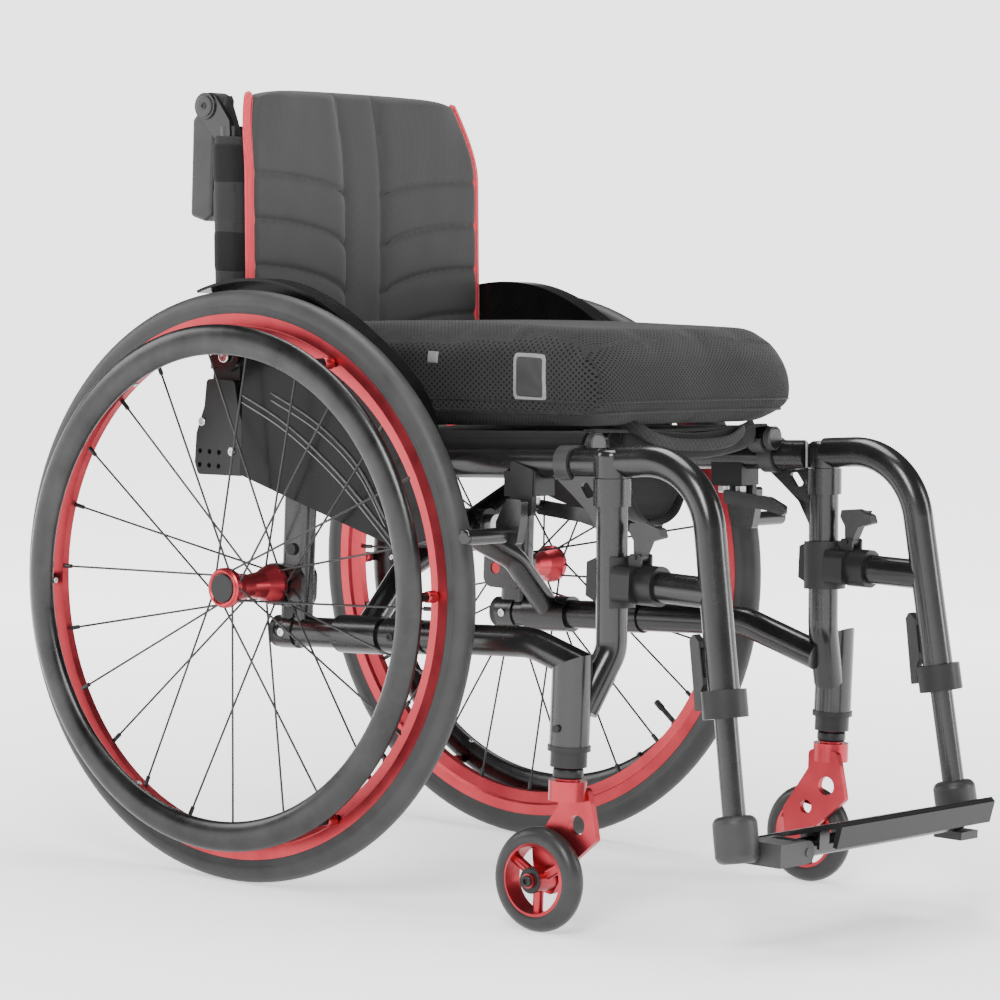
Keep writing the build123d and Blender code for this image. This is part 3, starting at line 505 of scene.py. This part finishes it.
for k, (x, y, z) in enumerate(shape):
    floor_z = frame_floor(x, y)
    if z < floor_z + 0.002:
        shape[k, 2] = floor_z + 0.002 * math.exp(min(0.0, (z - floor_z - 0.002) / 0.002))
shape[:, 2] = np.minimum(shape[:, 2], CUSHION_TOP)
shape[:, 1] = np.clip(shape[:, 1], (AXLE_Y + CUSHION_NOSE) / 1000, (AXLE_Y + CUSHION_REAR) / 1000)
shape[:, 0] = np.clip(shape[:, 0], -CUSHION_SIDE, CUSHION_SIDE)
cushion.data.vertices.foreach_set("co", shape.astype(np.float32).ravel())
cushion.data.update()
cushion.data.polygons.foreach_set("use_smooth", [True] * len(cushion.data.polygons))
smoother = cushion.modifiers.new("smooth", "SMOOTH")
smoother.factor = 0.5
smoother.iterations = 10
subdivide = cushion.modifiers.new("subdivide", "SUBSURF")
subdivide.levels = 1
subdivide.render_levels = 1
run_modifiers(cushion)
cushion.data.materials.clear()
cushion.data.materials.append(MESH.material)
cushion.data.polygons.foreach_set("use_smooth", [True] * len(cushion.data.polygons))
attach(cushion, "seat")
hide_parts("seat_cushion")


def seat_soft(obj):
    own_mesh(obj)


skin_points = [v.co for v in cushion.data.vertices]
skin_faces = [list(p.vertices) for p in cushion.data.polygons]
skin = BVHTree.FromPolygons(skin_points, skin_faces)


def hug(origin, direction):
    """Where a ray first meets the cushion."""
    place, normal, _, _ = skin.ray_cast(origin, direction)
    if place is None:
        return origin, -direction
    return place, normal if normal.dot(direction) < 0 else -normal


def belt(z_offset_front, z_offset_rear, proud, count=150):
    """A closed path round the cushion a set height above its base."""
    path = []
    for k in range(count):
        turn = 2 * math.pi * k / count
        corner = 5.0
        c, s = math.cos(turn), math.sin(turn)
        far = (abs(c) ** corner + abs(s) ** corner) ** (-1 / corner)
        x, y = CUSHION_HALF * c * far, CUSHION_MIDDLE + 212 * s * far
        blend_z = z_offset_front + (z_offset_rear - z_offset_front) * (y + 393) / 424
        outside = at(x * 1.4, CUSHION_MIDDLE + (y - CUSHION_MIDDLE) * 1.3, blend_z)
        inside = at(x * 0.6, CUSHION_MIDDLE + (y - CUSHION_MIDDLE) * 0.7, blend_z)
        place, normal = hug(outside, (inside - outside).normalized())
        path.append(place + normal * proud)
    return path


lower_seam = tube("cushion_lower_seam", belt(490, 472, 0.0006), 0.0016, WEBBING, "seat",
                  closed=True)
upper_seam = tube("cushion_upper_seam", belt(500, 484, 0.0004), 0.0009, WEBBING, "seat",
                  closed=True)

# a blank sewn patch on the right-hand side, and a small blank woven tag behind it
def side_patch(name, y, z, wide, high, corner, shade, lift, count=10):
    """A thin patch that follows the cushion's right-hand side."""
    verts, faces = [], []
    for i in range(count + 1):
        for j in range(count + 1):
            u, v = 2 * i / count - 1, 2 * j / count - 1
            limit = 1 - corner * (abs(v) ** 8)
            py = y + wide / 2 * u * (limit if abs(u) > 0.8 else 1)
            pz = z + high / 2 * v * (1 - corner * abs(u) ** 8)
            place, normal = hug(at(-260, py, pz), Vector((1, 0, 0)))
            edge = max(abs(u), abs(v))
            verts.append(place + normal * (lift if edge < 0.95 else -0.0006))
    for i in range(count):
        for j in range(count):
            a = i * (count + 1) + j
            faces.append((a, a + 1, a + count + 2, a + count + 1))
    return piece(name, verts, faces, shade, "seat")


patch_rim = side_patch("cushion_patch_rim", -292, 519, 45, 51, 0.14, PALE_TRIM_AND_HIGHLIGHT, 0.0008)
patch = side_patch("cushion_patch", -292, 519, 38, 44, 0.14, PATCH, 0.0016)
tag = side_patch("cushion_tag", -170, 532, 14, 12, 0.02, PALE_TRIM_AND_HIGHLIGHT, 0.0012)
for soft in (cushion, lower_seam, upper_seam, patch_rim, patch, tag):
    seat_soft(soft)

# ---- seat sling ------------------------------------------------------------------------------------
WRAP_R = 12.6
SAG = 3.0


def sling():
    """Cloth stretched between the rails, wrapped over each and hemmed at the ends."""
    verts, faces = [], []
    stations = [s for s in range(-22, 371, 8)] + [371]
    across = []
    for k in range(9):
        turn = math.radians(-35 + 125 * k / 8)
        across.append((-RAIL_X - WRAP_R * math.cos(turn), WRAP_R * math.sin(turn), 0.0))
    for k in range(1, 20):
        x = -RAIL_X + 2 * RAIL_X * k / 20
        across.append((x, WRAP_R, 1.0 - (x / RAIL_X) ** 2))
    for k in range(9):
        turn = math.radians(90 - 125 * k / 8)
        across.append((RAIL_X + WRAP_R * math.cos(turn), WRAP_R * math.sin(turn), 0.0))
    for s in stations:
        wrap = 1.0 if 4 < s < 350 else 0.45
        for x, h, sag in across:
            low = h if h > 0 else h * wrap
            ripple = 0.5 * math.sin(s / 17.0) * sag
            if h <= 4 and wrap < 1.0:
                x = math.copysign(159.4, x)
            verts.append(in_frame(x, RAIL_H + low - SAG * sag + ripple, s))
    width = len(across)
    for i in range(len(stations) - 1):
        for j in range(width - 1):
            a = i * width + j
            faces.append((a, a + 1, a + width + 1, a + width))
    return verts, faces


verts, faces = sling()
sling_piece = piece("sling", verts, faces, KNIT, None)
thick = sling_piece.modifiers.new("thick", "SOLIDIFY")
thick.thickness = 0.0012
thick.offset = 0.0
run_modifiers(sling_piece)
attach(sling_piece, "seat")
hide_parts("seat_sling")
hem_path = [in_frame(x, 202.4 - SAG * (1 - (x / RAIL_X) ** 2), 368) for x in range(-150, 151, 12)]
hem = tube("sling_hem", hem_path, 0.004, WEBBING, "seat", count=10, tall=0.0018)

BAND_S = 333.0
BAND_HALF = 54
POUCH_ACROSS = 13
POUCH_HEIGHTS = range(112, 197, 6)
band_left = [(-BAND_HALF, 0), (-52, -26), (-46, -56), (-30, -82)]
band_right = [(-x, h) for x, h in reversed(band_left)]
band_path = smooth_path([in_frame(x, 199 + h, BAND_S) for x, h in band_left + [(0, -92)] + band_right], 6)
band = tube("hanging_band", band_path, 0.0014, WEBBING, "seat", up=Vector((0, 1, 0)),
            count=10, tall=0.012)
pouch_verts, pouch_faces = [], []
for h in POUCH_HEIGHTS:
    half = BAND_HALF * math.sqrt(max(0.0, 1 - ((196 - h) / 90) ** 2.4))
    for u in np.linspace(-1, 1, POUCH_ACROSS):
        pouch_verts.append(in_frame(u * half * 0.97, h - 0.5, BAND_S + 5 * math.sin(h / 19.0)))
for j in range(len(POUCH_HEIGHTS) - 1):
    for i in range(POUCH_ACROSS - 1):
        a = POUCH_ACROSS * j + i
        pouch_faces.append((a, a + 1, a + POUCH_ACROSS + 1, a + POUCH_ACROSS))
pouch = piece("hanging_pouch", pouch_verts, pouch_faces, KNIT, "seat")
pouch.modifiers.new("thick", "SOLIDIFY").thickness = 0.0012
run_modifiers(pouch)
strap_bends = [(-96, 209, 356), (-82, 204, 376), (-64, 194, 384), (-30, 187, 385)]
strap_bends += [(20, 185, 385), (66, 188, 383), (100, 199, 377)]
strap_path = smooth_path([in_frame(*bend) for bend in strap_bends], 6)
strap = tube("front_strap", strap_path, 0.0013, WEBBING, "seat", count=10, tall=0.0062)
pocket_bends = [(-90, 196, 366), (-40, 187, 372), (30, 184, 374), (100, 190, 370), (134, 198, 364)]
pocket_path = smooth_path([in_frame(*bend) for bend in pocket_bends], 6)
pocket = tube("front_pocket", pocket_path, 0.004, KNIT, "seat", count=12, tall=0.013)
for soft in (sling_piece, hem, band, pouch, strap, pocket):
    seat_soft(soft)

# ---- back upholstery ---------------------------------------------------------------------------------
PANEL_LOW, PANEL_HIGH, PANEL_HALF = 503.0, 791.0, 182.0


def panel_middle(x, z):
    """Depth (mm) of the panel's middle: it leans back, dips across and bends round at its top corners."""
    lean = 54 + (z - PANEL_LOW) / 287 * 16
    inside = 1 - (x / PANEL_HALF) ** 2
    hollow = (14.0 * max(0.0, (z - 665) / 126) ** 2 + 8.0 * max(0.0, (625 - z) / 122) ** 2) * inside
    corner = max(0.0, (abs(x) - 105) / 77) ** 2 * max(0.0, (z - 705) / 86) ** 1.8
    return lean + 4.0 * inside + hollow + 27 * corner


def panel_half(z):
    """Half-width at a height, rounded in at the top and narrower at the foot."""
    return PANEL_HALF - 2 - 21 * max(0.0, (z - 705) / 86) ** 2 - 4 * max(0.0, (560 - z) / 57)


def rib_lines():
    """The sewn channels: two along the spine and four curved ones each side."""
    heights = np.linspace(PANEL_LOW, PANEL_HIGH, 150)
    lines = [[(side * (27 + 5 * ((z - PANEL_LOW) / (PANEL_HIGH - PANEL_LOW))), z) for z in heights]
             for side in (-1, 1)]
    ribs = []
    for edge_z, drop in ((706, 24), (660, 34), (613, 36), (566, 36)):
        for side in (-1, 1):
            found = []
            for t in np.linspace(0, 1, 90):
                x = side * (PANEL_HALF - (PANEL_HALF - 31) * t)
                found.append((x, edge_z - drop * (1 - math.sqrt(max(0.0, 1 - (0.97 * t) ** 2)))))
            ribs.append(found)
    return lines, ribs


SPINE, RIBS = rib_lines()


def nearest(lines, x, z):
    flat = np.array([p for line in lines for p in line])
    squares = (flat[None, :, 0] - x[:, None]) ** 2 + (flat[None, :, 1] - z[:, None]) ** 2
    return np.sqrt(squares.min(axis=1))


def back_panel():
    columns, rows = 176, 150
    xs, zs, us = [], [], []
    for j in range(rows + 1):
        z = PANEL_LOW + (PANEL_HIGH - PANEL_LOW) * j / rows
        half = panel_half(z)
        for i in range(columns + 1):
            u = 2 * i / columns - 1
            u = math.copysign(abs(u) ** 0.92, u)
            xs.append(u * half)
            zs.append(z + (2.0 * (1 - u * u) - 9.0 * abs(u) ** 7) * (j / rows) ** 3)
            us.append(u)
    x, z, u = np.array(xs), np.array(zs), np.array(us)
    rib = nearest(RIBS, x, z)
    spine = nearest(SPINE, x, z)
    edge = np.minimum((1 - np.abs(u)) * PANEL_HALF, np.minimum(z - PANEL_LOW + 1.0, PANEL_HIGH + 1.0 - z))
    rounding = np.sqrt(np.clip(1 - (1 - np.clip(edge / 9.0, 0, 1)) ** 2, 0, 1))
    puff = 3.6 * (1 - np.exp(-(rib / 3.2) ** 1.05)) + 4.6 * (1 - np.exp(-(spine / 7.0) ** 1.2))
    puff = puff - np.where(np.abs(x) < 30, 2.2, 0.0)
    wrinkle = 0.25 * np.sin(x / 9.0 + z / 23.0) * np.sin(z / 13.0 - x / 31.0)
    front = (3.0 + puff + wrinkle) * rounding
    middle = np.array([panel_middle(a, b) for a, b in zip(x, z)])
    count = len(xs)
    verts = [at(a, m - f, c) for a, m, f, c in zip(x, middle, front, z)]
    verts += [at(a, m + 5.0 * r, c) for a, m, r, c in zip(x, middle, rounding, z)]
    width = columns + 1
    faces = []
    for j in range(rows):
        for i in range(columns):
            a = j * width + i
            faces.append((a, a + 1, a + width + 1, a + width))
            faces.append((count + a, count + a + width, count + a + width + 1, count + a + 1))
    rim = [i for i in range(columns)] + [j * width + columns for j in range(rows)]
    rim += [rows * width + i for i in range(columns, 0, -1)] + [j * width for j in range(rows, 0, -1)]
    for k, a in enumerate(rim):
        b = rim[(k + 1) % len(rim)]
        faces.append((a, b, count + b, count + a))
    return verts, faces


def back_soft(obj):
    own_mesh(obj)


verts, faces = back_panel()
back = piece("back_pad", verts, faces, BACK, "back_r")
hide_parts("back_upholstery")
back_parts = [back]

for tag_name, side in SIDES:
    edge_path = []
    for z in np.linspace(505, 790, 90):
        half = panel_half(z)
        edge_path.append(at(side * (half - 0.5), panel_middle(side * half, z) - 5.2, min(z, 783)))
    tape = tube("back_tape_" + tag_name, edge_path, 0.0064, PIPING, "back_r",
                up=Vector((0, 1, 0)), count=14, tall=0.0038)
    cord_path = [p + Vector((side * -0.0008, -0.0036, 0)) for p in edge_path]
    stitch = tube("back_stitch_" + tag_name, cord_path, 0.0009, RED, "back_r", count=6)
    back_parts += [tape, stitch]

# stitched thread in each sewn channel
for k, line in enumerate(SPINE + RIBS):
    path = []
    for x, z in line[1:-1:2]:
        if abs(x) > panel_half(z) - 6 or z < 506 or z > 788:
            continue
        path.append(at(x, panel_middle(x, z) - (2.4 if k < 2 else 7.0), z))
    back_parts.append(tube(f"back_seam_{k}", path, 0.0007, SLEEVE, "back_r",
                           up=Vector((0, 1, 0)), count=6))


def post_depth(z):
    """How far behind the axle line the back post's centre is at a height."""
    return 81.5 + (z - 550) / 202 * 12.5


def sleeve(name, side, z_low, z_high, grow, shade):
    """A flap of cloth from the panel's edge round the post."""
    outlines = []
    steps = 14
    for i in range(steps + 1):
        z = z_low + (z_high - z_low) * i / steps
        y_post = post_depth(z)
        y_front = panel_middle(side * 176, z) - 1
        ease = 1 - 0.1 * (abs(2 * i / steps - 1) ** 10)
        middle, half_depth = (y_front + y_post + 15) / 2, (y_post + 15 + grow - y_front) / 2
        ring = []
        for k in range(28):
            turn = 2 * math.pi * k / 28
            c, s = math.cos(turn), math.sin(turn)
            far = (abs(c) ** 4 + abs(s) ** 4) ** (-1 / 4)
            x = side * 173.2 + (15.6 + grow) * c * far * ease
            ring.append(at(x, middle + half_depth * s * far * ease, z))
        outlines.append(ring)
    verts = [v for ring in outlines for v in ring]
    return piece(name, verts, rings_to_faces(steps + 1, 28), shade, None)


def wing(name, side):
    """The dark pile that the panel's top corner fastens to, between the tape and the handle."""
    verts = []
    for z in np.linspace(736, 783, 10):
        front, rear = panel_middle(side * 178, z) + 1, 104 - 0.05 * (z - 736)
        middle = (front + rear) / 2
        outline = [(177.4, front), (178.4, front), (178.6, middle)]
        outline += [(177.6, rear), (175.6, rear), (175.6, middle)]
        for across, y in outline:
            verts.append(at(side * (across - (3.0 if z > 776 else 0.0)), y, z))
    return piece(name, verts, rings_to_faces(10, 6), LOOP, None)


for tag_name, side in SIDES:
    body = "back_" + tag_name
    made = [
        sleeve("post_sleeve_" + tag_name, side, 566, 742, 0.0, SLEEVE),
        sleeve("post_flap_low_" + tag_name, side, 604, 648, 0.8, LOOP),
        sleeve("post_flap_mid_" + tag_name, side, 652, 690, 0.8, SLEEVE),
        sleeve("post_flap_top_" + tag_name, side, 694, 735, 0.9, LOOP),
        wing("post_wing_" + tag_name, side),
    ]
    for part in made:
        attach(part, body)

for part in back_parts:
    back_soft(part)

# ---- small fittings -----------------------------------------------------------------------------------
OUT = Vector((1, 0, 0))
UPRIGHT = Vector((0, 0, 1))
FORWARD = Vector((0, -math.cos(TILT), math.sin(TILT)))
UPWARD = Vector((0, math.sin(TILT), math.cos(TILT)))

# profiles of the turned pieces: metres along the axis and metres out from it
TAB_SLEEVE = [(0, 0.0058), (0.002, 0.0062), (0.011, 0.0056), (0.013, 0.004)]
VALVE = [(0, 0.0045), (0.002, 0.0045), (0.0025, 0.0028), (0.022, 0.0028)]
VALVE += [(0.023, 0.0036), (0.033, 0.0034), (0.034, 0.002), (0.034, 0)]
HUB_LIP = [(-0.0005, 0.0152), (0.0012, 0.0156), (0.0018, 0.0172), (0.0008, 0.0185), (-0.0005, 0.0186)]
CASTOR_FACE = [(0, 0.0095), (0.0012, 0.0125), (0.0016, 0.0105), (0.0016, 0.0085)]
STEM_RING = [(0, 0.0135), (0.002, 0.0145), (0.008, 0.0145), (0.01, 0.0135)]
RAIL_RIB = [(0, 0.0113), (0.0003, 0.0122), (0.001, 0.0122), (0.0013, 0.0113)]

# raised lines on a side guard, each as (depth, height) points; they are drawn pale, a painted highlight
# standing for the light the ridges reflect
GUARD_HIGHLIGHT_LINES = [
    [(49, 483), (-14, 456), (-84, 412), (-156, 352)],
    [(9, 487), (-54, 460), (-108, 422), (-146, 372)],
]


def round_wheel(side, x, radius, turn):
    """A point on a circle round a drive wheel's axle."""
    return at(side * x, radius * math.cos(turn), WHEEL_Z + radius * math.sin(turn))


def wheel_fittings(tag_name, side, out):
    """Rivets and sleeves on the handrim's tabs, the tyre valve and the hub's cap ring."""
    body = "wheel_" + tag_name
    for k in range(6):
        turn = math.radians(60 * k - 3)
        place = round_wheel(side, 254, 257, turn)
        spot = round_wheel(side, 262, 236, turn)
        inward = Vector((0, -math.cos(turn), -math.sin(turn)))
        lathe(f"tab_sleeve_{tag_name}_{k}", place - out * 0.006, out, TAB_SLEEVE,
              RED, body, 20)
        bolt(f"tab_rivet_{tag_name}_{k}", spot + inward * 0.0035 + out * 0.004, inward, 3.0, 1.6,
             SILVER, body, True, 14)
    turn = math.radians(-142)
    root = round_wheel(side, 236, 247.5, turn)
    inward = Vector((0, -math.cos(turn), -math.sin(turn)))
    lathe("valve_" + tag_name, root, inward, VALVE, DARK, body, 16)
    lathe("hub_lip_" + tag_name, at(side * 266, 0, WHEEL_Z), out, HUB_LIP, RED, body, 48)


def castor_fittings(tag_name, side, out):
    """The castor's axle bolt, the face round it and the ring on the fork's stem."""
    fork_body = "castor_fork_" + tag_name
    bolt("castor_bolt_" + tag_name, at(side * 243, CASTOR_Y, CASTOR_Z), out, 5.5, 3.0,
         DARK, fork_body, True, 24)
    lathe("castor_face_" + tag_name, at(side * 237.2, CASTOR_Y, CASTOR_Z), out, CASTOR_FACE,
          DARK, "castor_wheel_" + tag_name, 40)
    lathe("stem_ring_" + tag_name, at(side * 220, -404, 149), UPRIGHT, STEM_RING,
          DARK, fork_body, 40)


def frame_fittings(tag_name, side, out, body):
    """Bolts beside the brake clamp, screws through the tubes, rail ends and the guard's raised lines, which
    are pale as a painted highlight.
    """
    for k, s in enumerate((300, 322)):
        bolt(f"clamp_bolt_{tag_name}_{k}", in_frame(side * 171, 138.6, s), -UPWARD, 6.0, 6.5,
             SILVER, body, True, 6)
    for k, s in enumerate((15, 158, 178)):
        shade = SILVER if k == 0 else DARK
        inner = in_frame(side * (FRAME_X - FRAME_TUBE_R), 0, s)
        outer = in_frame(side * (FRAME_X + FRAME_TUBE_R), 0, s)
        bolt(f"frame_screw_{tag_name}_{k}", inner, -out, 4.2, 1.4, shade, body, True, 18)
        bolt(f"frame_screw_out_{tag_name}_{k}", outer, out, 4.2, 1.4, shade, body, True, 18)
    for k in range(4):
        place = in_frame(side * RAIL_X, RAIL_H, 374.6 + 1.9 * k)
        lathe(f"rail_end_{tag_name}_{k}", place, FORWARD, RAIL_RIB,
              GREY, "arm_b" if side < 0 else "arm_a", 36)
    # each raised ridge gets a wide pale line and a thin one 7.5 mm below it; the pale colour of both is
    # painted highlight
    for k, line in enumerate(GUARD_HIGHLIGHT_LINES):
        for n, (shift, wide) in enumerate(((0.0, 0.0026), (-7.5, 0.0008))):
            path = smooth_path([at(side * 193.3, y, z + shift) for y, z in line], 12)
            tube(f"guard_line_{tag_name}_{k}{n}", path, 0.0007, PALE_TRIM_AND_HIGHLIGHT, body,
                 up=OUT, count=8, tall=wide)


def lever_ridges(tag_name, side):
    """Five raised ridges across the end of a release lever."""
    for k in range(5):
        y = -441 - 6.2 * k
        z = 389.6 + 0.4 * k - 0.35 * (k - 2) ** 2 * 0.4
        ridge = [at(side * x, y, z - 0.6) for x in (183.2, 182, 180, 177, 174, 172, 170.8)]
        tube(f"lever_ridge_{tag_name}_{k}", ridge, 0.0013, GREY, "release_lever_" + tag_name,
             count=8)


def back_fittings(tag_name, side, out, frame_body):
    """The push handle's disc and screw, the back's pivot screw and the bracket's screws."""
    body = "back_" + tag_name
    bolt("handle_disc_" + tag_name, at(side * 186, 119, 772), out, 10.5, 1.6,
         GREY, body, False, 40)
    bolt("handle_screw_" + tag_name, at(side * 187.2, 119, 772), out, 3.4, 1.4,
         DARK, body, True, 18)
    bolt("back_pivot_screw_" + tag_name, at(side * 187, 80, 520), out, 6.5, 2.2,
         SILVER, body, True, 20)
    for k, (y, z) in enumerate(((66, 424), (108, 452))):
        bolt(f"bracket_screw_{tag_name}_{k}", at(side * 186, y, z), out, 4.5, 2.0,
             SILVER, frame_body, True, 18)


for tag_name, side in SIDES:
    frame_body = "frame_right" if side < 0 else "frame_left"
    out = OUT * side
    wheel_fittings(tag_name, side, out)
    castor_fittings(tag_name, side, out)
    frame_fittings(tag_name, side, out, frame_body)
    lever_ridges(tag_name, side)
    back_fittings(tag_name, side, out, frame_body)

# ---- stage ---------------------------------------------------------------------------------------
floor_mesh = bpy.data.meshes.new("floor")
floor_mesh.from_pydata([(-9, -9, 0), (9, -9, 0), (9, 9, 0), (-9, 9, 0)], [], [(0, 1, 2, 3)])
floor = bpy.data.objects.new("floor", floor_mesh)
bpy.context.scene.collection.objects.link(floor)
pale = Shade("pale_floor")
distance = pale.add("ShaderNodeVectorMath", operation="LENGTH")
pale.put(distance.inputs[0], pale.coords)
floor_tone = pale.blend(pale.noise(2.0), grey(0.9), grey(0.93))
floor_glow = pale.remap(distance.outputs["Value"], 0.5, 2.6, 0.9, 2.8)
pale.set(Base_Color=floor_tone, Roughness=0.8, Specular_IOR_Level=0.1)
pale.set(Emission_Color=(1, 1, 1, 1), Emission_Strength=floor_glow)
floor_mesh.materials.append(pale.material)

world = bpy.data.worlds.new("studio")
world.use_nodes = True
sky = world.node_tree.nodes
sky["Background"].inputs["Color"].default_value = (1.0, 1.0, 1.0, 1.0)
direction = sky.new("ShaderNodeTexCoord")
along = sky.new("ShaderNodeVectorMath")
along.operation = "DOT_PRODUCT"
along.inputs[1].default_value = (0.0, 0.0, 1.0)
glow = sky.new("ShaderNodeMapRange")
for key, value in (("From Min", 0.09), ("From Max", 0.17), ("To Min", 3.0), ("To Max", 0.12)):
    glow.inputs[key].default_value = value
world.node_tree.links.new(direction.outputs["Generated"], along.inputs[0])
world.node_tree.links.new(along.outputs["Value"], glow.inputs["Value"])
world.node_tree.links.new(glow.outputs["Result"], sky["Background"].inputs["Strength"])
bpy.context.scene.world = world


def lamp(name, place, aim, size, power):
    data = bpy.data.lights.new(name, "AREA")
    data.shape = "RECTANGLE"
    data.size, data.size_y = size
    data.energy = power
    obj = bpy.data.objects.new(name, data)
    obj.location = place
    obj.rotation_mode = "QUATERNION"
    obj.rotation_quaternion = (Vector(aim) - Vector(place)).to_track_quat("-Z", "Y")
    bpy.context.scene.collection.objects.link(obj)


lamp("key", (-2.6, -1.4, 2.4), (0, 0, 0.4), (0.9, 1.8), 120)
lamp("fill", (1.8, -3.0, 1.5), (0, 0, 0.4), (0.7, 2.0), 60)
lamp("top", (0.2, 0.3, 3.0), (0, 0, 0.4), (1.2, 2.4), 90)
lamp("rim", (-1.2, 2.6, 1.6), (0, 0, 0.5), (1.4, 1.4), 45)

yaw, pitch, roll = math.radians(51.4), math.radians(4.19), math.radians(2.1)
ahead = Vector((math.sin(yaw) * math.cos(pitch), math.cos(yaw) * math.cos(pitch), -math.sin(pitch)))
right = Vector((math.cos(yaw), -math.sin(yaw), 0))
upright = right.cross(ahead)
turned_right = right * math.cos(roll) + upright * math.sin(roll)
turned_up = upright * math.cos(roll) - right * math.sin(roll)
lens = bpy.data.cameras.new("camera")
lens.lens = 146.34
lens.sensor_width = 36.0
lens.shift_x = 0.0029
lens.shift_y = 0.0027
lens.clip_start, lens.clip_end = 0.1, 60
camera = bpy.data.objects.new("camera", lens)
camera.matrix_world = Matrix.Translation((-3.228, -2.533, 0.683)) @ Matrix(
    (turned_right, turned_up, -ahead)).transposed().to_4x4()
bpy.context.scene.collection.objects.link(camera)
bpy.context.scene.camera = camera
